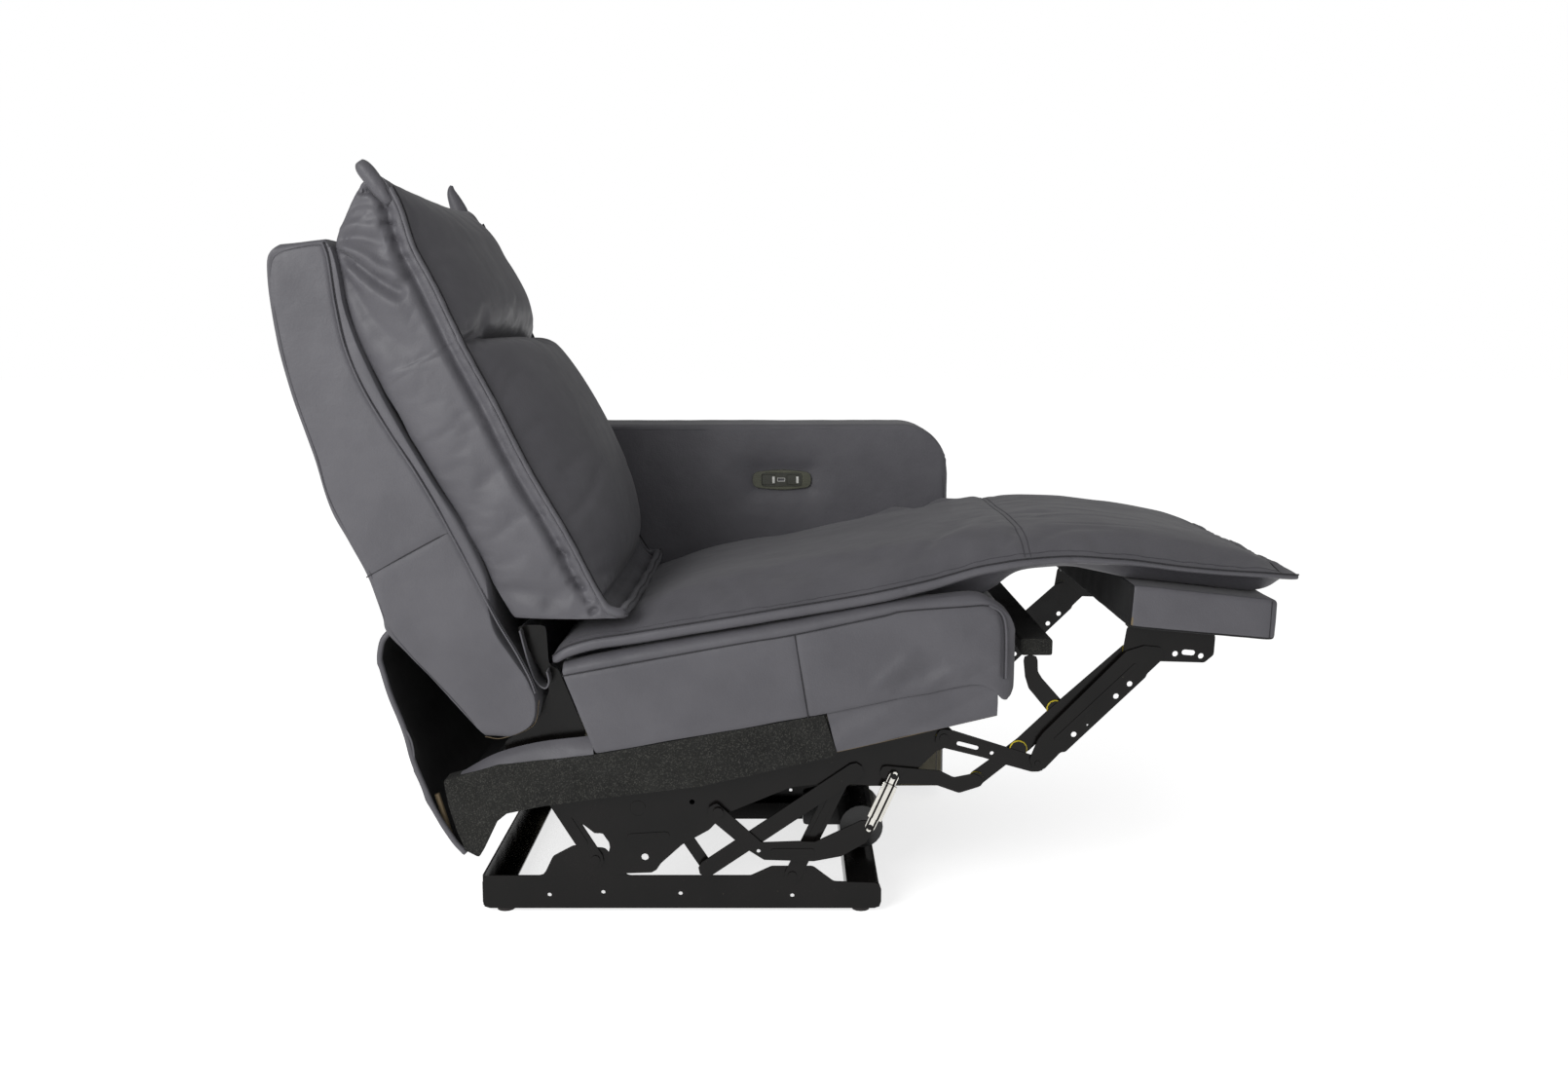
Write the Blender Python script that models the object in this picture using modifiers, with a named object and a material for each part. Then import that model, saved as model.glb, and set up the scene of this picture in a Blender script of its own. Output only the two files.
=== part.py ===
"""Power recliner with one arm, modelled with its footrest out and its back upright.

Metres. +X points to the front, +Y to the sitter's left (the side with the arm) and +Z up.
The floor is at Z = 0. Side-view points are (x, z) pairs from the datum of the side view,
which lies DATUM_X from the middle of the chair's length.
"""

import math

import bmesh
import bpy
from mathutils import Matrix, Vector

# Widths
SEAT_WIDTH = 0.600
ARM_WIDTH = 0.170
ARM_CLEARANCE = 0.010
TOTAL_WIDTH = SEAT_WIDTH + ARM_CLEARANCE + ARM_WIDTH
SEAT_RIGHT_Y = -TOTAL_WIDTH / 2
SEAT_LEFT_Y = SEAT_RIGHT_Y + SEAT_WIDTH
SEAT_MID_Y = SEAT_RIGHT_Y + SEAT_WIDTH / 2
ARM_INNER_Y = SEAT_LEFT_Y + ARM_CLEARANCE

# Clearances
FIT = 0.0003
DATUM_X = -0.011

# Stamped steel: plates lie in layers, counted from the outside of the seat inwards
MECHANISM_INSET = 0.025
STEEL = 0.003
SLIDE_GAP = 0.0006
WASHER_GAP = 0.0024
WASHER = WASHER_GAP - 2 * FIT
LAYER_0 = MECHANISM_INSET
LAYER_STRUT = LAYER_0 - STEEL - FIT
LAYER_1 = LAYER_0 + STEEL + SLIDE_GAP
LAYER_2 = LAYER_1 + STEEL + WASHER_GAP
LAYER_3 = LAYER_2 + STEEL + WASHER_GAP
LAYER_WEB = LAYER_3 + STEEL + SLIDE_GAP
BEAD = 0.0012
PIN_RADIUS = 0.0040
PIN_REACH = 0.0010
OPEN_PIVOT_CLEARANCE = 0.0012
HEAD_RADIUS = 0.0068
HEAD_HEIGHT = 0.0018
WASHER_RADIUS = 0.0115
LINK_HALF_WIDTH = 0.0120
RIDGE_HALF_WIDTH = 0.0050

# Base
RAIL_REAR = (-0.437, 0.006)
RAIL_FRONT_X = 0.141
RAIL_HEIGHT = 0.049
RAIL_FLANGE = 0.034
RAIL_CORNER = 0.010
RAIL_NOSE_HEIGHT = 0.038
RAIL_SHOULDER_HEIGHT = 0.040
FRONT_HUMP_REACH = 0.060
FRONT_HUMP_HALF_CREST = 0.030
FRONT_HUMP_RISE = 0.013
REAR_HUMP = ((0.014, 0.016), (-0.032, 0.020), (-0.062, 0.004))
REAR_HUMP_FRONT_REACH = 0.045
REAR_HUMP_REAR_REACH = 0.076
RAIL_HOLE = 0.0032
RAIL_HOLES = ((-0.340, 0.026), (-0.262, 0.030), (-0.150, 0.028), (0.012, 0.025))
GLIDE_RADIUS = 0.013
REAR_GLIDE_X = -0.406
FRONT_GLIDE_X = 0.112
CROSS_TUBE_WIDTH = 0.048
CROSS_TUBE_HEIGHT = 0.036
CROSS_TUBE_WALL = 0.002
CROSS_TUBE_CORNER = 0.004
CROSS_TUBE_SETBACK = 0.003
CROSS_ANGLE_LEG = 0.030
STRAP_LIFT = 0.004
STRAP_WIDTH = 0.036
STRAP_EAR = 0.030
REAR_STRAP_X = -0.385
FRONT_STRAP_X = 0.095

# Pivots of the base and of the seat's tilt
REAR_LIFT_BASE = (-0.272, 0.080)
REAR_LIFT_TOP = (-0.334, 0.180)
FRONT_LIFT_BASE = (0.012, 0.056)
FRONT_LIFT_TOP = (0.088, 0.213)

# Braces bolted outside the side plates
BOOMERANG_BOLT = (-0.0940, 0.1560)
BOOMERANG_HOLE = (-0.0365, 0.0980)
BOOMERANG_RIDGE = ((-0.0150, 0.0980), (0.0400, 0.0980))
BOLT_RADIUS = 0.0075
STRUT_FOOT = (0.1225, 0.1345)
STRUT_HALF_WIDTH = 0.0072
BRACE_FOOT = (-0.1112, 0.0700)
BRACE_HEAD = (0.1010, 0.2150)
STAY_HEAD = (-0.1450, 0.1210)
STAY_HALF_WIDTH = 0.0085
SEAT_TILT_POLE = (-0.1370, -0.1993)

# Pivots of the footrest linkage
UPPER_PIVOT = (0.2271, 0.2629)
UPPER_MID = (0.3334, 0.2464)
UPPER_END = (0.3600, 0.2276)
LOWER_PIVOT = (0.1561, 0.2091)
LOWER_END = (0.2736, 0.2020)
CROSS_MID = (0.3858, 0.3038)
CROSS_END = (0.4887, 0.3920)
BAR_END = (0.5162, 0.3878)
FOOTREST_POLE = (0.3890, 0.4479)

# Back
BACK_PIVOT = (-0.3812, 0.2486)
HINGE_TUBE_RADIUS = 0.0095

# Actuator
DRIVE_AXIS = (-0.2091, 0.1589)
DRIVE_TUBE_RADIUS = 0.0110
CRANK_PIN = (-0.2430, 0.1000)
CRANK_PIN_RADIUS = 0.0040
CRANK_SLOT_CLEARANCE = 0.0035
SLIDER_LENGTH = 0.040
SADDLE_HALF_WIDTH = 0.020
SADDLE_INSET = 0.006
GEARBOX_LOW = 0.056
ACTUATOR_RAIL_REAR_X = -0.330
ACTUATOR_RAIL_FRONT_X = 0.030
ACTUATOR_RAIL_Z = 0.062
ACTUATOR_RAIL_WIDTH = 0.040
ACTUATOR_RAIL_HEIGHT = 0.026
ACTUATOR_WALL = 0.0025
MOTOR_CENTRE = (0.118, 0.087)
MOTOR_RADIUS = 0.033
MOTOR_LENGTH = 0.105
MOTOR_OFFSET = 0.028
GEARBOX_HALF_WIDTH = 0.030
GEARBOX_CORNER = 0.006
GEARBOX_FRONT = ((0.008, 0.0), (0.020, -0.022), (0.020, 0.022), (-0.012, 0.027))
GEARBOX_REAR_RISE = 0.008
SLIDER_RISE = 0.006
SLIDER_PIN_REACH = 0.034
FORK_HALF_WIDTH = 0.014
FORK_HEEL = 0.012
FORK_TIP = 0.018
FORK_SLOT = 0.014
FORK_GAP = 0.003
FORK_THICKNESS = 0.005

# Upholstery
SEAT_WALL = 0.042
REAR_RAIL_X = (-0.452, -0.432)
REAR_RAIL_Z = (0.150, 0.205)
APRON_THICKNESS = 0.012
FELT_RAIL_INSET = 0.002
SPRING_WIRE = 0.0018
SPRING_COUNT = 4
SPRING_WAVES = 9
SPRING_SWING = 0.022
SPRING_DROP = 0.012
SPRING_TIES = (0.30, 0.68)
SPRING_LEAD = 0.008
SKIRT_THICKNESS = 0.006

# Arm and its controls
ARM_BOTTOM = 0.013
ARM_TOP = 0.676
ARM_REAR_X = -0.640
ARM_FRONT_X = 0.2915
ARM_FRONT_FOOT_X = 0.2835
ARM_CORNER = 0.085
ARM_FOOT_CORNER = 0.010
ARM_REAR_CORNER = 0.030
ARM_BOW_RADIUS = 0.20
ARM_BOW_DROP = 0.130
ARM_TOP_SETBACK = 0.004
ARM_EDGE = 0.014
CONTROL_CENTRE = (-0.004, 0.578)
BEZEL_LENGTH = 0.104
BEZEL_HEIGHT = 0.037
BEZEL_PROUD = 0.003
BEZEL_SUNK = 0.010
BEZEL_END_RADIUS = 0.013
BEZEL_BOW_RADIUS = 0.20
BEZEL_END_SHARE = 0.36
BEZEL_EDGE = 0.0010
WINDOW_LENGTH = 0.072
WINDOW_HEIGHT = 0.024
WINDOW_CORNER = 0.006
WINDOW_REAR_MARGIN = 0.00125
WINDOW_FRONT_MARGIN = 0.00425
FASCIA_RECESS = 0.0015
PORT_LENGTH = 0.0135
PORT_HEIGHT = 0.0064
PORT_CORNER = 0.001
PORT_BORE_CORNER = 0.0004
PORT_TONGUE_DEPTH = 0.0055
PORT_TONGUE_THICKNESS = 0.001
PORT_WALL = 0.0008
PORT_REAR_GAP = 0.0045
PORT_FRONT_GAP = 0.0035
BUTTON_LENGTH = (
    WINDOW_LENGTH - WINDOW_REAR_MARGIN - WINDOW_FRONT_MARGIN - PORT_REAR_GAP - PORT_FRONT_GAP - PORT_LENGTH
) / 2
BUTTON_MARGIN_Z = 0.003
BUTTON_HEIGHT = WINDOW_HEIGHT - 2 * BUTTON_MARGIN_Z
BUTTON_CORNER = 0.003
BUTTON_EDGE = 0.0005
BUTTON_PROUD = 0.0010
BUTTON_DEPTH = 0.0060
REAR_BUTTON_X = -WINDOW_LENGTH / 2 + WINDOW_REAR_MARGIN + BUTTON_LENGTH / 2
PORT_X = REAR_BUTTON_X + BUTTON_LENGTH / 2 + PORT_REAR_GAP + PORT_LENGTH / 2
FRONT_BUTTON_X = PORT_X + PORT_LENGTH / 2 + PORT_FRONT_GAP + BUTTON_LENGTH / 2

# Stamped plates: corners in the side view, or (along, across) places on the line of a link
SIDE_PLATE = [
    (-0.372, 0.190),
    (-0.3309, 0.1618),
    (-0.2851, 0.1323),
    (-0.2693, 0.1194),
    (-0.2621, 0.1238),
    (-0.2492, 0.1046),
    (-0.2538, 0.0879),
    (-0.2499, 0.0610),
    (-0.1862, 0.0631),
    (-0.1771, 0.0768),
    (-0.1465, 0.1046),
    (-0.1071, 0.1268),
    (-0.0855, 0.1500),
    (0.0105, 0.1900),
    (0.0690, 0.1960),
    (LOWER_PIVOT[0] - 0.012, LOWER_PIVOT[1] - 0.018),
    (LOWER_PIVOT[0] + 0.014, LOWER_PIVOT[1] - 0.014),
    (UPPER_PIVOT[0] - 0.010, UPPER_PIVOT[1] - 0.020),
    (UPPER_PIVOT[0] + 0.016, UPPER_PIVOT[1] - 0.010),
    (UPPER_PIVOT[0] + 0.014, UPPER_PIVOT[1] + 0.016),
    (0.0700, 0.2860),
    (-0.1000, 0.2560),
    (-0.3100, 0.2280),
]
SIDE_PLATE_CORNER = 0.009
SIDE_PLATE_HOLES = (((-0.1317, 0.1680), 0.0040), ((-0.2000, 0.0860), 0.0055), ((-0.3050, 0.1740), 0.0040))
SIDE_PLATE_RIDGE = ((-0.2200, 0.1150), (-0.1700, 0.1180))
SIDE_PLATE_RIDGE_HALF_WIDTH = 0.006
BOOMERANG = [
    (-0.0958, 0.1695),
    (-0.0764, 0.1512),
    (-0.0321, 0.1107),
    (0.0212, 0.1126),
    (0.0443, 0.1115),
    (0.1099, 0.1431),
    (0.1347, 0.1431),
    (0.1172, 0.1107),
    (0.0817, 0.0904),
    (0.0426, 0.0830),
    (-0.0286, 0.0850),
    (-0.0571, 0.1034),
    (-0.1083, 0.1475),
    (-0.1082, 0.1622),
]
BOOMERANG_CORNER = 0.006
BOOMERANG_HOLE_RADIUS = 0.003
BOOMERANG_RIDGE_HALF_WIDTH = 0.004
BOLT_PROUD = 0.005
UPPER_LINK = [
    (-0.013, -0.010),
    (-0.009, 0.013),
    (0.012, 0.013),
    (0.128, -0.005),
    (0.147, -0.010),
    (0.148, -0.026),
    (0.131, -0.029),
    (0.094, -0.0245),
    (0.060, -0.019),
    (0.004, -0.014),
]
UPPER_LINK_CORNER = 0.009
UPPER_LINK_WINDOW = ((0.022, -0.0042), (0.048, -0.0068))
UPPER_LINK_WINDOW_HALF_WIDTH = 0.0032
UPPER_LINK_HOLE = (0.0708, -0.0109)
UPPER_LINK_HOLE_RADIUS = 0.003
LOWER_LINK = [
    (-0.020, -0.004),
    (-0.018, 0.013),
    (0.006, 0.012),
    (0.066, 0.010),
    (0.086, 0.0015),
    (0.114, 0.009),
    (0.127, 0.004),
    (0.127, -0.008),
    (0.095, -0.0205),
    (0.061, -0.0107),
    (0.002, -0.012),
]
LINK_CORNER = 0.008
CROSS_LINK_FOOT = ((-0.010, -0.004), (-0.004, 0.011), (0.035, 0.011))
CROSS_LINK_FOOT_UNDER = ((0.048, -0.009), (0.004, -0.011))
CROSS_LINK_UPPER = ((0.010, 0.0115), (0.070, 0.0125))
CROSS_LINK_UNDER = ((0.070, -0.0115), (0.010, -0.0125))
CROSS_LINK_TIP = ((-0.004, 0.0100), (0.010, 0.004), (0.006, -0.010))
FRONT_BAR_REAR = ((-0.013, -0.006), (-0.004, 0.012), (0.0246, 0.024), (0.0366, 0.0257))
FRONT_BAR_TIP = (
    (-0.023, 0.0262),
    (0.0, 0.014),
    (0.016, -0.006),
    (0.006, -0.0185),
    (-0.025, -0.0179),
    (-0.030, -0.0200),
)
FRONT_BAR_UNDER = ((0.0389, -0.0165), (0.0343, -0.0120), (0.002, -0.013))
FRONT_BAR_CORNER = 0.006
FRONT_BAR_HOLES = ((0.1714, -0.011), (0.1456, -0.010), (0.0653, -0.007))
FRONT_BAR_HOLE_RADIUS = 0.0042
FRONT_BAR_PILOT = (0.0883, -0.011)
FRONT_BAR_PILOT_RADIUS = 0.0015
FRONT_BAR_RIDGE = ((0.0430, 0.0065), (0.1950, 0.0030))
FRONT_BAR_RIDGE_HALF_WIDTH = 0.0028
MID_BRACKET = [
    (0.3388, 0.3805),
    (0.3423, 0.3494),
    (0.3475, 0.3330),
    (0.3740, 0.3010),
    (0.3790, 0.2920),
    (0.3960, 0.2960),
    (0.3970, 0.3130),
    (0.3662, 0.3478),
    (0.3602, 0.3575),
    (0.3591, 0.3805),
]
MID_BRACKET_CORNER = 0.007
MID_BEAM = [
    (0.3366, MID_BRACKET[0][1] + 2 * FIT),
    (0.3797, MID_BRACKET[0][1] + 2 * FIT),
    (0.3800, 0.4040),
    (0.3348, 0.4050),
]
MID_BEAM_CORNER = 0.003
BACK_BRACKET = [
    (BACK_PIVOT[0] - 0.016, BACK_PIVOT[1] - 0.020),
    (-0.2900, 0.2190),
    (-0.2830, 0.2700),
    (-0.3190, 0.3600),
    (-0.3330, 0.3700),
    (-0.3360, 0.4250),
    (-0.3800, 0.4250),
    (-0.3390, 0.3500),
    (-0.3330, 0.3300),
    (-0.3560, 0.2800),
    (BACK_PIVOT[0] - 0.004, BACK_PIVOT[1] + 0.016),
    (BACK_PIVOT[0] - 0.016, BACK_PIVOT[1] + 0.008),
]
BACK_BRACKET_CORNER = 0.008
HINGE_TAB_HALF_FOOT = 0.009
HINGE_TAB_HEAD = ((-0.3700, 0.2880), (-0.3950, 0.2768))
HINGE_TAB_INSET = 0.012
HINGE_TAB_WIDTH = 0.010

# Footrest board and its brackets
BOARD_TOP = ((0.4853, 0.4878), (0.6865, 0.4660))
BOARD_BOTTOM = ((0.4791, 0.4263), (0.6837, 0.4084))
BOARD_SIDE_CLEARANCE = 0.004
BOARD_CORNER = 0.005
BOARD_EDGE = 0.004
FOOT_BRACKET_REAR = (0.4780, 0.3935)
FOOT_BRACKET_TOP_X = (0.4829, 0.6068)
FOOT_BRACKET_UNDER = (
    (0.6054, 0.3839),
    (0.5925, 0.3727),
    (0.5300, 0.3745),
    (0.5040, 0.3740),
    (0.4850, 0.3800),
)
FOOT_BRACKET_CORNER = 0.006
FOOT_BRACKET_HOLES = ((0.5511, 0.3852), (0.5875, 0.3820))
FOOT_BRACKET_HOLE_RADIUS = 0.0042
FOOT_BRACKET_SLOT = ((0.5640, 0.3875), (0.5755, 0.3865))
FOOT_BRACKET_SLOT_HALF_WIDTH = 0.0040
FOOT_FLANGE_X = (0.4850, 0.6050)
FOOT_FLANGE_WIDTH = 0.024

# Felt rail, seat box and apron
FELT_RAIL = [
    (-0.4789, 0.2092),
    (-0.4732, 0.1738),
    (-0.4619, 0.1354),
    (-0.4504, 0.1069),
    (-0.4314, 0.0969),
    (-0.4066, 0.1482),
    (-0.3912, 0.1610),
    (-0.3443, 0.1710),
    (-0.2549, 0.1837),
    (-0.1164, 0.2007),
    (-0.0492, 0.2162),
    (0.0710, 0.2444),
    (0.0737 - FIT, 0.2500),
    (0.0560, 0.3042 - FIT),
    (-0.1159, 0.2735 - FIT),
    (-0.2648, 0.2472 - FIT),
    (-0.4017, 0.2317),
]
FELT_RAIL_CORNER = 0.004
DECK_LINE = [(-0.3090, 0.3633), (-0.1420, 0.3920), (0.0000, 0.4168), (0.1294, 0.4450), (0.2626, 0.4590)]
SEAT_BOX = [
    (-0.3090, 0.3615),
    (-0.2648, 0.2472),
    (0.0571, 0.3045),
    (0.1291, 0.3198),
    (0.2996, 0.3535),
    (0.3030, 0.3185),
    (0.3165, 0.3268),
    (0.3241, 0.3504),
    (0.3244, 0.4029),
    (0.3183, 0.4359),
    (0.3020, 0.4500),
    (0.2855, 0.4580),
    *reversed(DECK_LINE[1:]),
    (-0.3060, 0.3638),
]
SEAT_BOX_EDGE = 0.005
CAVITY_X = (-0.2300, 0.2620)
APRON_FLAP = [
    (0.0742, 0.2500),
    (0.1296, 0.2626),
    (0.3000, 0.3031),
    (0.2990, 0.3530 - FIT * 2),
    (0.1291, 0.3198 - FIT * 2),
    (0.0580, 0.3045 - FIT * 2),
]
APRON_FRONT = [
    (0.2880, 0.3003),
    (0.2995, 0.3030),
    (0.2989, 0.3523),
    (0.2880, 0.3500),
]

# Cushions: stations hold (x, under, lip, welt, top), where None lies on the box or board below
PAD_UNDERCUT = 0.022
PAD_LIP_INSET = 0.004
PAD_CROWN = ((0.010, 0.45), (0.045, 0.80), (0.130, 0.95))
PAD_SPLIT_X = 0.389
SEAT_PAD = [
    (-0.3233, 0.3760, 0.3780, 0.3870, 0.3920),
    (-0.3080, 0.3700, 0.3800, 0.4080, 0.4160),
    (-0.2646, None, 0.3900, 0.4200, 0.4310),
    (-0.2250, None, 0.3960, 0.4255, 0.4340),
    (-0.1389, None, 0.4105, 0.4345, 0.4700),
    (0.0000, None, 0.4400, 0.4564, 0.4970),
    (0.1294, None, 0.4600, 0.4775, 0.5220),
    (0.2000, None, 0.4740, 0.4935, 0.5360),
    (0.2626, None, 0.4878, 0.5111, 0.5465),
    (0.2960, 0.4720, 0.4925, 0.5175, 0.5500),
    (0.3299, 0.4970, 0.4975, 0.5231, 0.5550),
    (PAD_SPLIT_X - FIT / 2, 0.5050, 0.5050, 0.5270, 0.5570),
]
FOOT_PAD = [
    (PAD_SPLIT_X + FIT / 2, 0.5050, 0.5050, 0.5270, 0.5570),
    (0.4122, 0.5041, 0.5041, 0.5265, 0.5568),
    (0.4528, 0.4960, 0.4965, 0.5235, 0.5550),
    (0.4853, None, 0.4890, 0.5215, 0.5520),
    (0.5500, None, 0.4820, 0.5120, 0.5450),
    (0.6100, None, 0.4755, 0.5065, 0.5340),
    (0.6600, None, 0.4710, 0.5030, 0.5230),
    (0.6865, None, 0.4700, 0.5000, 0.5130),
    (0.7080, 0.4730, 0.4780, 0.4970, 0.5040),
    (0.7200, 0.4850, 0.4870, 0.4950, 0.4970),
]
SHELL_EDGE = 0.006
CUSHION_CROWN_RISE = 0.30
CUSHION_SIDE_DRAW = 0.004
SKIRT = [
    (-0.5565, 0.4174),
    (-0.5635, 0.4070),
    (-0.5683, 0.3864),
    (-0.5661, 0.3712),
    (-0.5504, 0.3185),
    (-0.5321, 0.2570),
    (-0.5072, 0.1823),
    (-0.4747, 0.1240),
    (-0.4560, 0.1010),
]
SKIRT_LEAN = 0.001
SKIRT_SIDE_CLEARANCE = 0.004
SHELL_REAR = [
    (-0.6980, 0.9200),
    (-0.6935, 0.8715),
    (-0.6824, 0.7961),
    (-0.6678, 0.7396),
    (-0.6456, 0.6694),
    (-0.6260, 0.5973),
    (-0.5762, 0.5000),
    (-0.5580, 0.4454),
    (-0.5522, 0.4208),
    (-0.4422, 0.2976),
    (-0.4117, 0.2696),
    (-0.3648, 0.2906),
    (-0.3449, 0.3296),
    (-0.3513, 0.3462),
]
SHELL_FRONT = [
    (-0.4007, 0.4290),
    (-0.4734, 0.5664),
    (-0.5096, 0.6455),
    (-0.5521, 0.7211),
    (-0.5804, 0.7777),
    (-0.5965, 0.8715),
    (-0.6038, 0.9520),
]
SHELL_TOP = [
    (-0.6256, 0.9591),
    (-0.6518, 0.9565),
    (-0.6800, 0.9470),
]
CUSHION_SEAT_GAP = 0.0005

# Side outline of the back cushion: (x, z, crown), the crown being how far the middle bulges
CUSHION_OUTLINE = [
    (-0.3900, 0.4410, 0.0),
    (-0.3000, 0.4450, 0.0),
    (-0.2240, 0.4400, 0.0),
    (-0.2440, 0.4500, 0.004),
    (-0.2674, 0.4919, 0.022),
    (-0.2859, 0.5300, 0.043),
    (-0.3087, 0.5771, 0.065),
    (-0.3423, 0.6294, 0.079),
    (-0.3660, 0.6800, 0.079),
    (-0.3929, 0.7330, 0.072),
    (-0.4215, 0.7880, 0.060),
    (-0.4325, 0.8090, 0.045),
    (-0.4388, 0.8215, 0.020),
    (-0.4450, 0.8380, 0.034),
    (-0.4675, 0.8858, 0.047),
    (-0.4995, 0.9488, 0.043),
    (-0.5123, 0.9936, 0.032),
    (-0.5342, 1.0368, 0.013),
    (-0.5520, 1.0560, 0.003),
    (-0.5690, 1.0450, 0.0),
    (-0.5850, 1.0063, 0.0),
    (-0.5985, 0.9620, 0.0),
]
CUSHION_STATIONS = (-1.0, -0.96, -0.86, -0.66, -0.36, 0.0, 0.36, 0.66, 0.86, 0.96, 1.0)

SIDES = (("right", -1), ("left", 1))


def clear_scene():
    """Empty the scene and its old data."""
    for old in list(bpy.data.objects):
        bpy.data.objects.remove(old, do_unlink=True)
    for old in list(bpy.data.collections):
        bpy.data.collections.remove(old)


clear_scene()
PARTS = bpy.data.collections.new("power_recliner")
CUTTERS = bpy.data.collections.new("cutters")
bpy.context.scene.collection.children.link(PARTS)
bpy.context.scene.collection.children.link(CUTTERS)


def material(name, colour, roughness, metallic=0.0):
    """Return a Principled material of one colour."""
    made = bpy.data.materials.new(name)
    made.use_nodes = True
    shader = made.node_tree.nodes["Principled BSDF"]
    shader.inputs["Base Color"].default_value = (*colour, 1.0)
    shader.inputs["Roughness"].default_value = roughness
    shader.inputs["Metallic"].default_value = metallic
    made.diffuse_color = (*colour, 1.0)
    return made


LEATHER = ("leather", (0.14, 0.14, 0.155), 0.5, 0.0)
FELT = ("felt", (0.045, 0.047, 0.045), 0.95, 0.0)
BLACK_STEEL = ("black_steel", (0.012, 0.011, 0.010), 0.35, 0.6)
ZINC = ("zinc", (0.75, 0.74, 0.70), 0.2, 1.0)
BLACK_PLASTIC = ("black_plastic", (0.010, 0.010, 0.011), 0.3, 0.0)
DARK_METAL = ("dark_metal", (0.10, 0.10, 0.085), 0.35, 0.8)
RUBBER = ("rubber", (0.02, 0.02, 0.02), 0.7, 0.0)
WOOD = ("wood", (0.42, 0.28, 0.15), 0.7, 0.0)


# Joint frames: an empty sits on the axis of every moving body


class Body:
    """An empty on a joint's axis that carries the pieces of one moving body."""

    def __init__(self, name, pivot, parent=None, y=SEAT_MID_Y):
        self.centre = Vector((pivot[0], y, pivot[1]))
        self.empty = bpy.data.objects.new(name, None)
        self.empty.empty_display_size = 0.03
        PARTS.objects.link(self.empty)
        if parent is None:
            self.empty.location = self.centre
        else:
            self.empty.parent = parent.empty
            self.empty.location = self.centre - parent.centre

    def take(self, piece):
        """Carry a piece, with its origin moved onto the axis."""
        piece.data.transform(Matrix.Translation(-self.centre))
        piece.parent = self.empty
        piece.location = (0, 0, 0)
        for modifier in piece.modifiers:
            if modifier.type == "BOOLEAN":
                tool = modifier.object
                tool.data.transform(Matrix.Translation(-self.centre))
                tool.parent = self.empty
                tool.location = (0, 0, 0)
        return piece


ROOT = Body("recliner_datum", (0, 0), y=0.0)
ROOT.empty.location.x = DATUM_X
BASE = Body("base_frame", (0, 0), ROOT, y=0.0)
REAR_LIFT = Body("rear_lift_axis", REAR_LIFT_BASE, ROOT)
FRONT_LIFT = Body("front_lift_axis", FRONT_LIFT_BASE, ROOT)
SLIDER = Body("slider_axis", CRANK_PIN, ROOT)
SEAT = Body("seat_tilt_axis", SEAT_TILT_POLE, ROOT)
DRIVE = Body("drive_axis", DRIVE_AXIS, SEAT)
UPPER = Body("upper_link_axis", UPPER_PIVOT, SEAT)
LOWER = Body("lower_link_axis", LOWER_PIVOT, SEAT)
CROSS = Body("cross_link_axis", UPPER_MID, UPPER)
BAR = Body("front_bar_axis", UPPER_END, UPPER)
MIDDLE = Body("mid_bracket_axis", CROSS_MID, CROSS)
FOOTREST = Body("footrest_axis", FOOTREST_POLE, SEAT)
BACK = Body("recline_axis", BACK_PIVOT, SEAT)


# Outlines in the side view


def rounded(corners, radius, steps=3):
    """Round the corners of a polygon; radius is one value or one value a corner."""
    radii = radius if isinstance(radius, (list, tuple)) else [radius] * len(corners)
    outline = []
    for index, corner in enumerate(corners):
        here = Vector(corner)
        before = Vector(corners[index - 1]) - here
        after = Vector(corners[(index + 1) % len(corners)]) - here
        angle = before.angle(after)
        reach = min(radii[index] / math.tan(angle / 2), 0.45 * before.length, 0.45 * after.length)
        if reach < 0.0002:
            outline.append(tuple(here))
            continue
        start = here + before.normalized() * reach
        end = here + after.normalized() * reach
        for step in range(steps + 1):
            part = step / steps
            point = start * (1 - part) ** 2 + here * 2 * part * (1 - part) + end * part**2
            outline.append(tuple(point))
    return outline


def circle(centre, radius, sides=10):
    """Return a regular outline round a centre."""
    turn = 2 * math.pi / sides
    return [
        (centre[0] + radius * math.cos(turn * n), centre[1] + radius * math.sin(turn * n))
        for n in range(sides)
    ]


def slot(start, end, radius, steps=4):
    """Return the outline of a link or slot with round ends."""
    along = math.atan2(end[1] - start[1], end[0] - start[0])
    outline = []
    for centre, first in ((start, along + math.pi / 2), (end, along - math.pi / 2)):
        for step in range(steps + 1):
            angle = first + math.pi * step / steps
            outline.append(
                (centre[0] + radius * math.cos(angle), centre[1] + radius * math.sin(angle))
            )
    return outline


def along_link(start, end, places):
    """Turn (along, across) places on a link into side-view points."""
    axis = (Vector(end) - Vector(start)).normalized()
    across = Vector((-axis[1], axis[0]))
    return [tuple(Vector(start) + axis * u + across * v) for u, v in places]


def between(start, end, share):
    """Return the point at a share of the way between two points."""
    return tuple(Vector(start).lerp(Vector(end), share))


def side_y(side, inset):
    """Return the Y of a plane that lies inset from the seat's right (-1) or left (1) face."""
    return SEAT_RIGHT_Y + inset if side < 0 else SEAT_LEFT_Y - inset


# Solids


def add_mesh(name, shape):
    """Make an object from a bmesh, with its faces pointing out."""
    bmesh.ops.recalc_face_normals(shape, faces=shape.faces[:])
    mesh = bpy.data.meshes.new(name)
    shape.to_mesh(mesh)
    shape.free()
    piece = bpy.data.objects.new(name, mesh)
    PARTS.objects.link(piece)
    return piece


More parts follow.
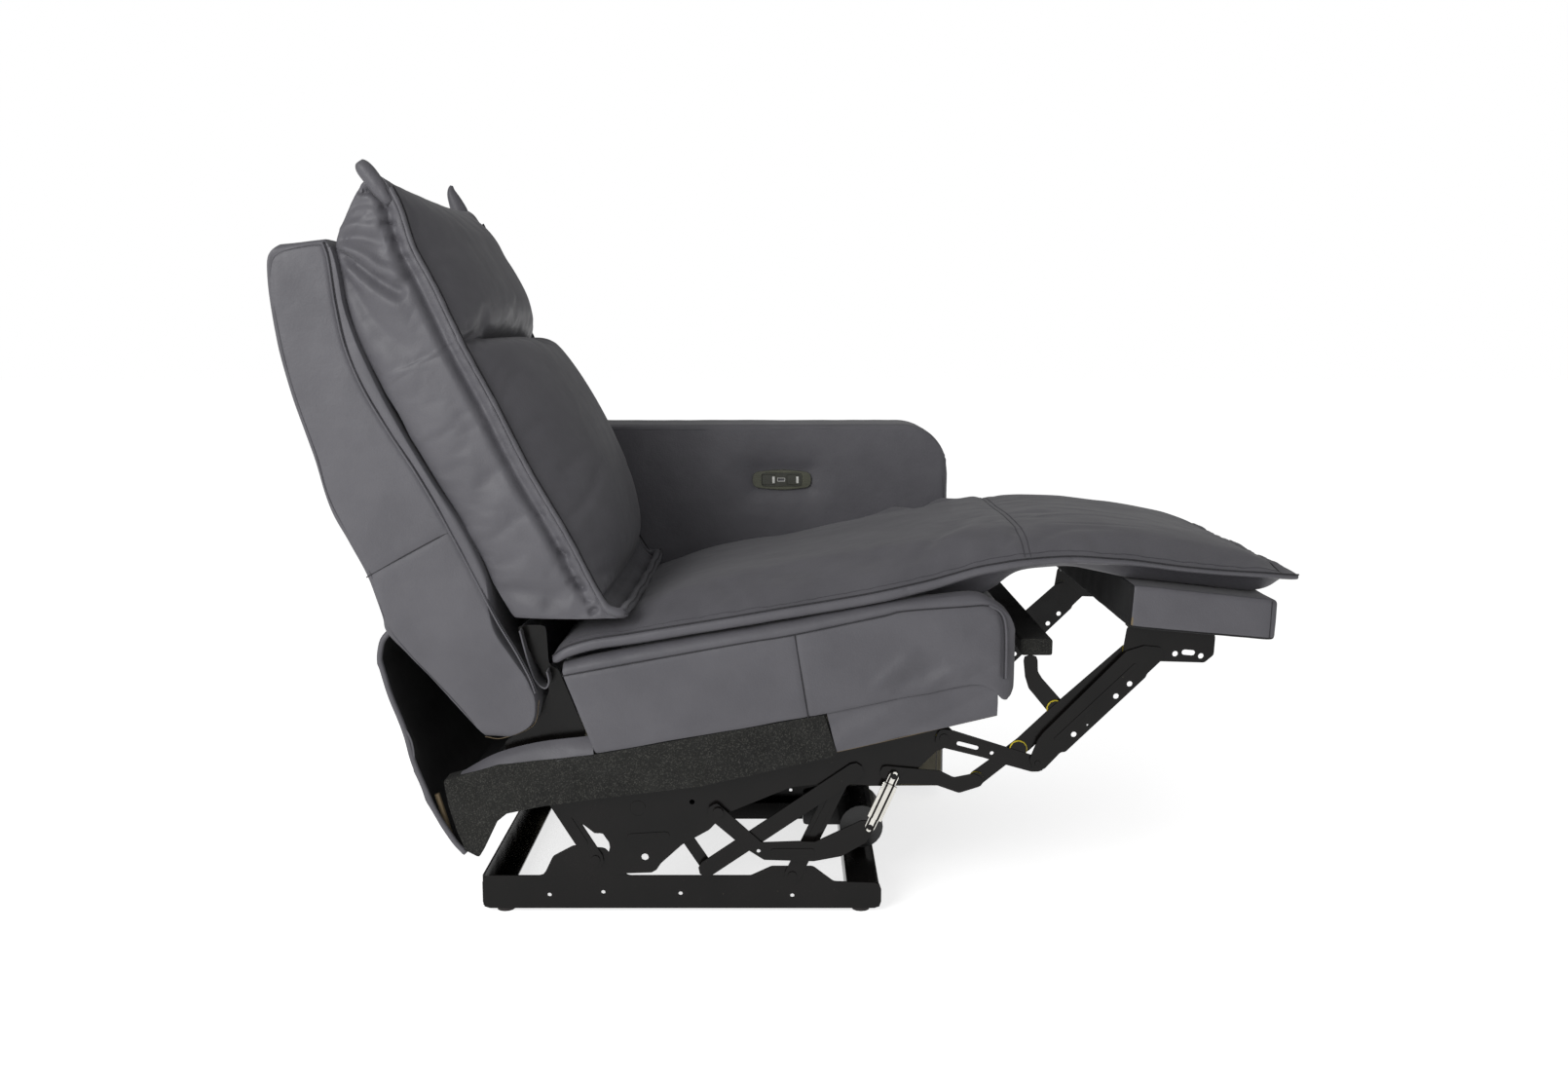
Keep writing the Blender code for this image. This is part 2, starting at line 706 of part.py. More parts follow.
def from_curve(name, curve, placement):
    """Turn a curve into a welded mesh object in place."""
    guide = bpy.data.objects.new(name + "_curve", curve)
    guide.matrix_world = placement
    PARTS.objects.link(guide)
    bpy.context.view_layer.update()
    graph = bpy.context.evaluated_depsgraph_get()
    mesh = bpy.data.meshes.new_from_object(guide.evaluated_get(graph))
    mesh.transform(placement)
    bpy.data.objects.remove(guide, do_unlink=True)
    shape = bmesh.new()
    shape.from_mesh(mesh)
    bpy.data.meshes.remove(mesh)
    bmesh.ops.remove_doubles(shape, verts=shape.verts[:], dist=0.00001)
    return add_mesh(name, shape)


def prism(name, loops, y_start, y_end):
    """Extrude side-view loops (the outline, then its holes) from one Y to another."""
    curve = bpy.data.curves.new(name, "CURVE")
    curve.dimensions = "2D"
    curve.fill_mode = "BOTH"
    curve.extrude = abs(y_end - y_start) / 2
    for loop in loops:
        spline = curve.splines.new("POLY")
        spline.points.add(len(loop) - 1)
        for point, (x, z) in zip(spline.points, loop):
            point.co = (x, z, 0, 1)
        spline.use_cyclic_u = True
    upright = Matrix.Rotation(math.pi / 2, 4, "X")
    return from_curve(name, curve, Matrix.Translation((0, (y_start + y_end) / 2, 0)) @ upright)


def box(name, x, y, z):
    """Make a box from its ranges along X, Y and Z."""
    shape = bmesh.new()
    size = Vector((x[1] - x[0], y[1] - y[0], z[1] - z[0]))
    centre = Vector((x[0] + x[1], y[0] + y[1], z[0] + z[1])) / 2
    place = Matrix.Translation(centre) @ Matrix.Diagonal((*size, 1))
    bmesh.ops.create_cube(shape, size=1, matrix=place)
    return add_mesh(name, shape)


def bar_y(name, centre, radius, y_start, y_end, sides=10):
    """Make a round bar along Y at a side-view centre."""
    shape = bmesh.new()
    middle = Vector((centre[0], (y_start + y_end) / 2, centre[1]))
    place = Matrix.Translation(middle) @ Matrix.Rotation(math.pi / 2, 4, "X")
    bmesh.ops.create_cone(
        shape,
        cap_ends=True,
        segments=sides,
        radius1=radius,
        radius2=radius,
        depth=abs(y_end - y_start),
        matrix=place,
    )
    return add_mesh(name, shape)


def post_z(name, centre, radius, z_start, z_end, sides=12):
    """Make an upright round post at an (x, y) centre."""
    shape = bmesh.new()
    place = Matrix.Translation((centre[0], centre[1], (z_start + z_end) / 2))
    bmesh.ops.create_cone(
        shape,
        cap_ends=True,
        segments=sides,
        radius1=radius,
        radius2=radius,
        depth=z_end - z_start,
        matrix=place,
    )
    return add_mesh(name, shape)


def wire(name, points, radius):
    """Make a wire through points, with filled ends."""
    curve = bpy.data.curves.new(name, "CURVE")
    curve.dimensions = "3D"
    curve.bevel_depth = radius
    curve.bevel_resolution = 0
    curve.use_fill_caps = True
    spline = curve.splines.new("POLY")
    spline.points.add(len(points) - 1)
    for point, place in zip(spline.points, points):
        point.co = (*place, 1)
    return from_curve(name, curve, Matrix.Identity(4))


def loft(name, rings):
    """Join closed rings of equal length into a solid with flat ends."""
    shape = bmesh.new()
    rows = [[shape.verts.new(point) for point in ring] for ring in rings]
    for row, following in zip(rows, rows[1:]):
        for n in range(len(row)):
            m = (n + 1) % len(row)
            shape.faces.new((row[n], row[m], following[m], following[n]))
    shape.faces.new(rows[0])
    shape.faces.new(rows[-1])
    return add_mesh(name, shape)


def shape_with(piece, tool, operation):
    """Cut a piece with a tool, or fuse the tool to it, with a Boolean modifier."""
    modifier = piece.modifiers.new(tool.name, "BOOLEAN")
    modifier.operation = operation
    modifier.object = tool
    modifier.solver = "EXACT"
    PARTS.objects.unlink(tool)
    CUTTERS.objects.link(tool)
    tool.hide_render = True
    tool.display_type = "WIRE"
    return piece


def cut(piece, tool):
    """Cut a tool out of a piece."""
    return shape_with(piece, tool, "DIFFERENCE")


def fuse(piece, tool):
    """Fuse a tool to a piece."""
    return shape_with(piece, tool, "UNION")


def soften(piece, width, segments=2, angle=50):
    """Round the sharp edges of a piece."""
    modifier = piece.modifiers.new("edge", "BEVEL")
    modifier.width = width
    modifier.segments = segments
    modifier.limit_method = "ANGLE"
    modifier.angle_limit = math.radians(angle)
    return piece


def finish(piece, body, look, smooth=True):
    """Give a piece its material and its body."""
    name, colour, roughness, metallic = look
    piece.data.materials.clear()
    piece.data.materials.append(material(f"{piece.name}_{name}", colour, roughness, metallic))
    if smooth:
        piece.data.shade_smooth()
        piece.data.set_sharp_from_angle(angle=math.radians(35))
    return body.take(piece)


# Stamped plates


def plate(name, side, layer, outline, holes=(), thickness=STEEL):
    """Stamp a plate that lies in one layer of the mechanism."""
    outer = side_y(side, layer)
    inner = side_y(side, layer + thickness)
    return prism(name, [outline, *holes], outer, inner)


def bead(piece, side, layer, outline):
    """Fuse a stamped bead to the outer face of a plate."""
    outer = side_y(side, layer - BEAD)
    inner = side_y(side, layer + STEEL / 2)
    return fuse(piece, prism(piece.name + "_bead", [outline], outer, inner))


def hole(centre):
    """Return the hole for a pivot rivet."""
    return circle(centre, PIN_RADIUS + FIT)


def stud(piece, side, centre, start, end, radius=PIN_RADIUS):
    """Fuse a round pin, collar or rivet head to a plate, from one depth to another."""
    y = (side_y(side, start), side_y(side, end))
    return fuse(piece, bar_y(piece.name + "_stud", centre, radius, *y))


def inner_washer(piece, side, centre, layer):
    """Fuse a washer to the inner face of a plate, up to the plate in the next layer."""
    end = layer + STEEL + WASHER_GAP - FIT
    return stud(piece, side, centre, layer + STEEL / 2, end, WASHER_RADIUS)


def outer_head(piece, side, centre, layer):
    """Fuse the flat head of a rivet to the outer face of a plate."""
    return stud(piece, side, centre, layer - HEAD_HEIGHT, layer + STEEL / 2, HEAD_RADIUS)


# Base


def base_rail_outline():
    """Return the web of a base rail, with a hump round each lift pivot."""
    x0, z0 = RAIL_REAR
    top = z0 + RAIL_HEIGHT
    hump_x, hump_z = REAR_LIFT_BASE
    bump_x, bump_z = FRONT_LIFT_BASE
    corners = [
        (x0, z0),
        (RAIL_FRONT_X, z0),
        (RAIL_FRONT_X, z0 + RAIL_NOSE_HEIGHT),
        (bump_x + FRONT_HUMP_REACH, z0 + RAIL_SHOULDER_HEIGHT),
        (bump_x + FRONT_HUMP_HALF_CREST, bump_z + FRONT_HUMP_RISE),
        (bump_x - FRONT_HUMP_HALF_CREST, bump_z + FRONT_HUMP_RISE),
        (bump_x - FRONT_HUMP_REACH, top),
        (hump_x + REAR_HUMP_FRONT_REACH, top),
        *[(hump_x + x, hump_z + z) for x, z in REAR_HUMP],
        (hump_x - REAR_HUMP_REAR_REACH, top),
        (x0, top),
    ]
    return rounded(corners, RAIL_CORNER, 2)


def make_base_rail(name, side):
    holes = [circle(centre, RAIL_HOLE, 8) for centre in RAIL_HOLES]
    web = plate(name, side, LAYER_WEB, base_rail_outline(), holes)
    x0, z0 = RAIL_REAR
    ends = sorted((side_y(side, LAYER_WEB + STEEL / 2), side_y(side, LAYER_WEB + RAIL_FLANGE)))
    low = z0 + FIT
    span = (x0 + RAIL_CORNER, RAIL_FRONT_X - RAIL_CORNER)
    flange = box(name + "_flange", span, ends, (low, low + STEEL))
    fuse(web, flange)
    for pivot in (REAR_LIFT_BASE, FRONT_LIFT_BASE):
        stud(web, side, pivot, LAYER_3 - PIN_REACH, LAYER_WEB + STEEL / 2)
        stud(web, side, pivot, LAYER_3 - HEAD_HEIGHT, LAYER_3 - FIT, HEAD_RADIUS)
    return web


def make_base():
    for word, side in SIDES:
        finish(make_base_rail(f"base_rail_{word}", side), BASE, BLACK_STEEL)
    clear = LAYER_WEB + STEEL + FIT
    span = (side_y(-1, clear), side_y(1, clear))
    x0, z0 = RAIL_REAR
    seat_z = z0 + STEEL + 2 * FIT
    leg = CROSS_ANGLE_LEG
    angle = [
        (x0, seat_z),
        (x0 + leg, seat_z),
        (x0 + leg, seat_z + STEEL),
        (x0 + STEEL, seat_z + STEEL),
        (x0 + STEEL, z0 + RAIL_HEIGHT),
        (x0, z0 + RAIL_HEIGHT),
    ]
    finish(prism("rear_cross_angle", [angle], *span), BASE, BLACK_STEEL)
    front = RAIL_FRONT_X - CROSS_TUBE_SETBACK
    rear = front - CROSS_TUBE_WIDTH
    top = seat_z + CROSS_TUBE_HEIGHT
    wall = CROSS_TUBE_WALL
    outer = rounded([(rear, seat_z), (front, seat_z), (front, top), (rear, top)], CROSS_TUBE_CORNER, 2)
    bore = [
        (rear + wall, seat_z + wall),
        (front - wall, seat_z + wall),
        (front - wall, top - wall),
        (rear + wall, top - wall),
    ]
    tube = prism("front_cross_tube", [outer, bore], *span)
    # A saddle on the tube carries the gearbox of the actuator
    saddle = box(
        "saddle",
        (rear + SADDLE_INSET, front - SADDLE_INSET),
        (SEAT_MID_Y - SADDLE_HALF_WIDTH, SEAT_MID_Y + SADDLE_HALF_WIDTH),
        (top - wall / 2, GEARBOX_LOW - FIT),
    )
    finish(fuse(tube, saddle), BASE, BLACK_STEEL)
    for word, side in SIDES:
        y = side_y(side, LAYER_WEB + STEEL + GLIDE_RADIUS)
        for place, x in (("rear", REAR_GLIDE_X), ("front", FRONT_GLIDE_X)):
            foot = post_z(f"floor_glide_{place}_{word}", (x, y), GLIDE_RADIUS, 0.0, z0 - FIT)
            finish(foot, BASE, RUBBER)
    make_arm_brackets()


def make_arm_brackets():
    """Two bent straps that carry the arm from the left base rail."""
    y0 = side_y(1, LAYER_WEB) + FIT
    y1 = ARM_INNER_Y - FIT
    low = RAIL_REAR[1] + STRAP_LIFT
    for place, x in (("rear", REAR_STRAP_X), ("front", FRONT_STRAP_X)):
        reach = (x - STRAP_WIDTH / 2, x + STRAP_WIDTH / 2)
        strap = box(f"arm_bracket_{place}", reach, (y0, y1), (low, low + STEEL))
        ear = (low + STEEL / 2, low + STRAP_EAR)
        fuse(strap, box("ear", reach, (y0, y0 + STEEL), ear))
        fuse(strap, box("ear", reach, (y1 - STEEL, y1), ear))
        finish(strap, BASE, BLACK_STEEL)


# Arm and controls


def make_arm():
    corners = [
        (ARM_REAR_X, ARM_BOTTOM),
        (ARM_FRONT_FOOT_X, ARM_BOTTOM),
        (ARM_FRONT_X, ARM_TOP - ARM_BOW_DROP),
        (ARM_FRONT_X - ARM_TOP_SETBACK, ARM_TOP),
        (ARM_REAR_X, ARM_TOP),
    ]
    radii = [ARM_FOOT_CORNER, ARM_FOOT_CORNER, ARM_BOW_RADIUS, ARM_CORNER, ARM_REAR_CORNER]
    outline = rounded(corners, radii, 5)
    arm = prism("arm_panel", [outline], ARM_INNER_Y, ARM_INNER_Y + ARM_WIDTH)
    soften(arm, ARM_EDGE, 3)
    pocket_outline = bezel_outline(BEZEL_LENGTH + 2 * FIT, BEZEL_HEIGHT + 2 * FIT)
    floor = ARM_INNER_Y + BEZEL_SUNK + FIT
    cut(arm, prism("control_pocket", [pocket_outline], ARM_INNER_Y - 0.01, floor))
    finish(arm, BASE, LEATHER)


def bezel_outline(length, height):
    """Return an oblong whose long sides bow out a little."""
    x, z = CONTROL_CENTRE
    corners = [
        (x - length / 2, z - height * BEZEL_END_SHARE),
        (x, z - height / 2),
        (x + length / 2, z - height * BEZEL_END_SHARE),
        (x + length / 2, z + height * BEZEL_END_SHARE),
        (x, z + height / 2),
        (x - length / 2, z + height * BEZEL_END_SHARE),
    ]
    half = [BEZEL_END_RADIUS, BEZEL_BOW_RADIUS, BEZEL_END_RADIUS]
    return rounded(corners, half + half, 4)


def oblong(centre_x, length, height, corner):
    """Return a rounded rectangle on the control panel's centre line."""
    x = CONTROL_CENTRE[0] + centre_x
    z = CONTROL_CENTRE[1]
    corners = [
        (x - length / 2, z - height / 2),
        (x + length / 2, z - height / 2),
        (x + length / 2, z + height / 2),
        (x - length / 2, z + height / 2),
    ]
    return rounded(corners, corner, 3)


def make_controls():
    face = ARM_INNER_Y - BEZEL_PROUD
    back = ARM_INNER_Y + BEZEL_SUNK
    bezel = prism(
        "control_bezel",
        [
            bezel_outline(BEZEL_LENGTH, BEZEL_HEIGHT),
            oblong(0, WINDOW_LENGTH, WINDOW_HEIGHT, WINDOW_CORNER),
        ],
        face,
        back,
    )
    soften(bezel, BEZEL_EDGE, 1, 60)
    finish(bezel, BASE, DARK_METAL)
    fascia_face = face + FASCIA_RECESS
    buttons = ((REAR_BUTTON_X, "button_rear"), (FRONT_BUTTON_X, "button_front"))
    room = (BUTTON_LENGTH + 2 * FIT, BUTTON_HEIGHT + 2 * FIT)
    holes = [oblong(x, *room, BUTTON_CORNER) for x, _ in buttons]
    holes.append(oblong(PORT_X, PORT_LENGTH + 2 * FIT, PORT_HEIGHT + 2 * FIT, PORT_CORNER))
    inner = oblong(0, WINDOW_LENGTH - 2 * FIT, WINDOW_HEIGHT - 2 * FIT, WINDOW_CORNER)
    finish(prism("control_fascia", [inner, *holes], fascia_face, back), BASE, BLACK_PLASTIC)
    port = prism(
        "charging_port",
        [
            oblong(PORT_X, PORT_LENGTH, PORT_HEIGHT, PORT_CORNER),
            oblong(PORT_X, PORT_LENGTH - 2 * PORT_WALL, PORT_HEIGHT - 2 * PORT_WALL, PORT_BORE_CORNER),
        ],
        fascia_face,
        back,
    )
    tongue_z = CONTROL_CENTRE[1] + PORT_HEIGHT / 4
    centre_x = CONTROL_CENTRE[0] + PORT_X
    tongue = box(
        "tongue",
        (centre_x - PORT_LENGTH / 2 + PORT_WALL / 2, centre_x + PORT_LENGTH / 2 - PORT_WALL / 2),
        (fascia_face + PORT_TONGUE_DEPTH, back - FIT),
        (tongue_z - PORT_TONGUE_THICKNESS / 2, tongue_z + PORT_TONGUE_THICKNESS / 2),
    )
    finish(fuse(port, tongue), BASE, ZINC)
    for x, name in buttons:
        outline = oblong(x, BUTTON_LENGTH, BUTTON_HEIGHT, BUTTON_CORNER)
        front = fascia_face - BUTTON_PROUD
        button = prism(name, [outline], front, front + BUTTON_DEPTH)
        soften(button, BUTTON_EDGE, 1, 60)
        centre = (CONTROL_CENTRE[0] + x, CONTROL_CENTRE[1])
        finish(button, Body(name + "_axis", centre, ROOT, y=front), BLACK_PLASTIC)


# Lift links


def make_lift_links():
    """Ridged links that carry the side plates; the upper pins run free in wide holes."""
    for name, start, end, body in (
        ("rear_lift_link", REAR_LIFT_BASE, REAR_LIFT_TOP, REAR_LIFT),
        ("front_lift_link", FRONT_LIFT_BASE, FRONT_LIFT_TOP, FRONT_LIFT),
    ):
        for word, side in SIDES:
            outline = slot(start, end, LINK_HALF_WIDTH)
            link = plate(f"{name}_{word}", side, LAYER_3, outline, [hole(start)])
            ridge = slot(between(start, end, 0.25), between(start, end, 0.78), RIDGE_HALF_WIDTH)
            bead(link, side, LAYER_3, ridge)
            washer_end = LAYER_3 - WASHER_GAP + FIT
            stud(link, side, end, washer_end, LAYER_3 + STEEL / 2, WASHER_RADIUS)
            stud(link, side, end, LAYER_2 + FIT, LAYER_3 + STEEL / 2)
            finish(link, body, BLACK_STEEL)


# Seat frame


def make_side_plates():
    for word, side in SIDES:
        holes = [
            hole(UPPER_PIVOT),
            hole(LOWER_PIVOT),
            circle(REAR_LIFT_TOP, PIN_RADIUS + OPEN_PIVOT_CLEARANCE),
            circle(FRONT_LIFT_TOP, PIN_RADIUS + OPEN_PIVOT_CLEARANCE),
            circle(DRIVE_AXIS, DRIVE_TUBE_RADIUS + FIT, 16),
            *[circle(centre, radius, 8) for centre, radius in SIDE_PLATE_HOLES],
        ]
        name = f"side_plate_{word}"
        piece = plate(name, side, LAYER_2, rounded(SIDE_PLATE, SIDE_PLATE_CORNER, 1), holes)
        bead(piece, side, LAYER_2, slot(*SIDE_PLATE_RIDGE, SIDE_PLATE_RIDGE_HALF_WIDTH))
        finish(piece, SEAT, BLACK_STEEL)


def make_rails():
    inner = LAYER_2 - FIT
    for word, side in SIDES:
        rail = prism(
            f"felt_rail_{word}",
            [rounded(FELT_RAIL, FELT_RAIL_CORNER, 2)],
            side_y(side, FELT_RAIL_INSET),
            side_y(side, inner),
        )
        finish(rail, SEAT, FELT)
    clear = LAYER_2
    span = (side_y(-1, clear), side_y(1, clear))
    finish(box("rear_seat_rail", REAR_RAIL_X, span, REAR_RAIL_Z), SEAT, WOOD)


def deck_z(x):
    """Return the height of the seat box's top at a place along the seat."""
    for (x0, z0), (x1, z1) in zip(DECK_LINE, DECK_LINE[1:]):
        if x <= x1:
            return z0 + (z1 - z0) * (x - x0) / (x1 - x0)
    return DECK_LINE[-1][1]


def make_seat_box():
    piece = prism("seat_box", [SEAT_BOX], SEAT_RIGHT_Y, SEAT_LEFT_Y)
    soften(piece, SEAT_BOX_EDGE, 2, 60)
    cavity = box(
        "seat_cavity",
        CAVITY_X,
        (SEAT_RIGHT_Y + SEAT_WALL, SEAT_LEFT_Y - SEAT_WALL),
        (0.0, DECK_LINE[-1][1] + SEAT_WALL),
    )
    finish(cut(piece, cavity), SEAT, LEATHER)
    make_springs()


def make_springs():
    """Waved wires from the front to the rear of the seat box, tied by two cross wires."""
    rear = CAVITY_X[0] + SPRING_LEAD
    front = CAVITY_X[1] - SPRING_LEAD
    pitch = (SEAT_WIDTH - 2 * SEAT_WALL) / SPRING_COUNT
    steps = SPRING_WAVES * 4
    springs = None
    for n in range(SPRING_COUNT):
        y = SEAT_MID_Y + (n - (SPRING_COUNT - 1) / 2) * pitch
        points = [(CAVITY_X[0] + FIT, y, deck_z(rear) - SPRING_DROP)]
        for step in range(steps + 1):
            x = rear + (front - rear) * step / steps
            swing = SPRING_SWING * (0, 1, 0, -1)[step % 4]
            points.append((x, y + swing, deck_z(x) - SPRING_DROP))
        points.append((CAVITY_X[1] - FIT, y, deck_z(front) - SPRING_DROP))
        spring = wire("seat_springs", points, SPRING_WIRE)
        springs = fuse(springs, spring) if springs else spring
    reach = SEAT_WIDTH / 2 - SEAT_WALL - FIT
    for share in SPRING_TIES:
        x = rear + (front - rear) * share
        z = deck_z(x) - SPRING_DROP - SPRING_WIRE
        points = [(x, SEAT_MID_Y - reach, z), (x, SEAT_MID_Y + reach, z)]
        fuse(springs, wire("tie", points, SPRING_WIRE))
    finish(springs, SEAT, ZINC)


def make_apron():
    """Hang the leather apron under the front of the seat box."""
    piece = prism("seat_apron", [APRON_FLAP], SEAT_RIGHT_Y, SEAT_RIGHT_Y + APRON_THICKNESS)
    far = prism("apron_far", [APRON_FLAP], SEAT_LEFT_Y - APRON_THICKNESS, SEAT_LEFT_Y)
    fuse(piece, far)
    inset = APRON_THICKNESS / 2
    fuse(piece, prism("apron_front", [APRON_FRONT], SEAT_RIGHT_Y + inset, SEAT_LEFT_Y - inset))
    finish(piece, SEAT, LEATHER)


def make_back_brackets():
    outline = rounded(BACK_BRACKET, BACK_BRACKET_CORNER, 2)
    layer = LAYER_2 + STEEL + FIT
    for word, side in SIDES:
        bore = circle(BACK_PIVOT, HINGE_TUBE_RADIUS + FIT, 16)
        bracket = plate(f"back_bracket_{word}", side, layer, outline, [bore])
        finish(bracket, SEAT, BLACK_STEEL)


def make_braces():
    """Outer braces of the side plates, each bolted through a spacer."""
    face = LAYER_2 - FIT
    for word, side in SIDES:
        name = f"boomerang_brace_{word}"
        hole_edge = circle(BOOMERANG_HOLE, BOOMERANG_HOLE_RADIUS, 8)
        brace = plate(name, side, LAYER_0, rounded(BOOMERANG, BOOMERANG_CORNER, 2), [hole_edge])
        bead(brace, side, LAYER_0, slot(*BOOMERANG_RIDGE, BOOMERANG_RIDGE_HALF_WIDTH))
        stud(brace, side, BOOMERANG_BOLT, LAYER_0 - BOLT_PROUD, LAYER_0 + STEEL / 2, BOLT_RADIUS)
        stud(brace, side, BOOMERANG_BOLT, LAYER_0 + STEEL / 2, face, BOLT_RADIUS)
        stud(brace, side, STRUT_FOOT, LAYER_STRUT, LAYER_0 + STEEL / 2)
        finish(brace, SEAT, BLACK_STEEL)

        name = f"diagonal_brace_{word}"
        brace = plate(name, side, LAYER_1, slot(BRACE_FOOT, BRACE_HEAD, LINK_HALF_WIDTH))
        ends = (between(BRACE_FOOT, BRACE_HEAD, 0.12), between(BRACE_FOOT, BRACE_HEAD, 0.85))
        # The ridge of this brace faces inwards, clear of the boomerang
        y = (side_y(side, LAYER_1 + STEEL / 2), side_y(side, LAYER_1 + STEEL + BEAD))
        fuse(brace, prism("ridge", [slot(*ends, RIDGE_HALF_WIDTH)], *y))
        stud(brace, side, BRACE_HEAD, LAYER_1 + STEEL / 2, face, BOLT_RADIUS)
        stud(brace, side, BRACE_FOOT, LAYER_1 + STEEL / 2, LAYER_3 + STEEL / 2, BOLT_RADIUS)
        stay = slot(BRACE_FOOT, STAY_HEAD, STAY_HALF_WIDTH)
        fuse(brace, plate("stay", side, LAYER_3, stay))
        stud(brace, side, STAY_HEAD, LAYER_2 + STEEL + FIT, LAYER_3 + STEEL / 2, PIN_RADIUS * 1.5)
        finish(brace, SEAT, BLACK_STEEL)

        outline = slot(STRUT_FOOT, LOWER_PIVOT, STRUT_HALF_WIDTH)
        holes = [hole(STRUT_FOOT), hole(LOWER_PIVOT)]
        strut = plate(f"bright_strut_{word}", side, LAYER_STRUT, outline, holes)
        ends = (between(STRUT_FOOT, LOWER_PIVOT, 0.25), between(STRUT_FOOT, LOWER_PIVOT, 0.75))
        bead(strut, side, LAYER_STRUT, slot(*ends, STRUT_HALF_WIDTH / 2))
        finish(strut, SEAT, ZINC)


# Footrest linkage


def make_upper_links():
    for word, side in SIDES:
        name = f"upper_link_{word}"
        frame = (UPPER_PIVOT, UPPER_MID)
        corners = along_link(*frame, UPPER_LINK)
        window = along_link(*frame, UPPER_LINK_WINDOW)
        small = along_link(*frame, [UPPER_LINK_HOLE])[0]
        holes = [slot(*window, UPPER_LINK_WINDOW_HALF_WIDTH), circle(small, UPPER_LINK_HOLE_RADIUS, 8)]
        piece = plate(name, side, LAYER_1, rounded(corners, UPPER_LINK_CORNER, 2), holes)
        outer_head(piece, side, UPPER_PIVOT, LAYER_1)
        for pivot in (UPPER_PIVOT, UPPER_MID):
            inner_washer(piece, side, pivot, LAYER_1)
            stud(piece, side, pivot, LAYER_1 + STEEL / 2, LAYER_2 + STEEL + PIN_REACH)
        stud(piece, side, UPPER_END, LAYER_0 - PIN_REACH, LAYER_1 + STEEL / 2)
        finish(piece, UPPER, BLACK_STEEL)


def make_lower_links():
    for word, side in SIDES:
        outline = rounded(along_link(LOWER_PIVOT, LOWER_END, LOWER_LINK), LINK_CORNER, 2)
        piece = plate(f"lower_link_{word}", side, LAYER_1, outline)
        stud(piece, side, LOWER_PIVOT, LAYER_STRUT - PIN_REACH, LAYER_2 + STEEL + PIN_REACH)
        for pivot in (LOWER_PIVOT, LOWER_END):
            inner_washer(piece, side, pivot, LAYER_1)
        finish(piece, LOWER, BLACK_STEEL)


def make_cross_links():
    for word, side in SIDES:
        name = f"cross_link_{word}"
        frame = (UPPER_MID, CROSS_END)
        length = (Vector(CROSS_END) - Vector(UPPER_MID)).length
        foot = along_link(LOWER_END, UPPER_MID, CROSS_LINK_FOOT)
        foot_under = along_link(LOWER_END, UPPER_MID, CROSS_LINK_FOOT_UNDER)
        tip = [(length + along, across) for along, across in CROSS_LINK_TIP]
        arm = along_link(*frame, [*CROSS_LINK_UPPER, *tip, *CROSS_LINK_UNDER])
        outline = rounded(foot + arm + foot_under, LINK_CORNER, 2)
        piece = plate(name, side, LAYER_2, outline, [hole(UPPER_MID)])
        inner_washer(piece, side, CROSS_MID, LAYER_2)
        stud(piece, side, CROSS_MID, LAYER_2 + STEEL / 2, LAYER_3 + STEEL + PIN_REACH)
        finish(piece, CROSS, BLACK_STEEL)


def make_front_bars():
    for word, side in SIDES:
        name = f"front_bar_{word}"
        length = (Vector(BAR_END) - Vector(UPPER_END)).length
        frame = (UPPER_END, BAR_END)
        tip = [(length + along, across) for along, across in FRONT_BAR_TIP]
        corners = along_link(*frame, [*FRONT_BAR_REAR, *tip, *FRONT_BAR_UNDER])
        holes = along_link(*frame, FRONT_BAR_HOLES)
        loops = [circle(centre, FRONT_BAR_HOLE_RADIUS, 10) for centre in holes] + [hole(UPPER_END)]
        pilot = along_link(*frame, [FRONT_BAR_PILOT])[0]
        loops.append(circle(pilot, FRONT_BAR_PILOT_RADIUS, 6))
        piece = plate(name, side, LAYER_0, rounded(corners, FRONT_BAR_CORNER, 2), loops)
        ridge = slot(*along_link(*frame, FRONT_BAR_RIDGE), FRONT_BAR_RIDGE_HALF_WIDTH)
        finish(bead(piece, side, LAYER_0, ridge), BAR, BLACK_STEEL)


def make_mid_brackets():
    for word, side in SIDES:
        outline = rounded(MID_BRACKET, MID_BRACKET_CORNER, 2)
        bracket = plate(f"mid_bracket_{word}", side, LAYER_3, outline, [hole(CROSS_MID)])
        finish(bracket, MIDDLE, BLACK_STEEL)
    clear = LAYER_3
    beam = prism(
        "mid_beam",
        [rounded(MID_BEAM, MID_BEAM_CORNER, 2)],
        side_y(-1, clear),
        side_y(1, clear),
    )
    finish(beam, MIDDLE, FELT)


# Footrest


def on_line(line, x, offset=0.0):
    """Return the Z of a side-view line at x."""
    (x0, z0), (x1, z1) = line
    return z0 + (z1 - z0) * (x - x0) / (x1 - x0) + offset


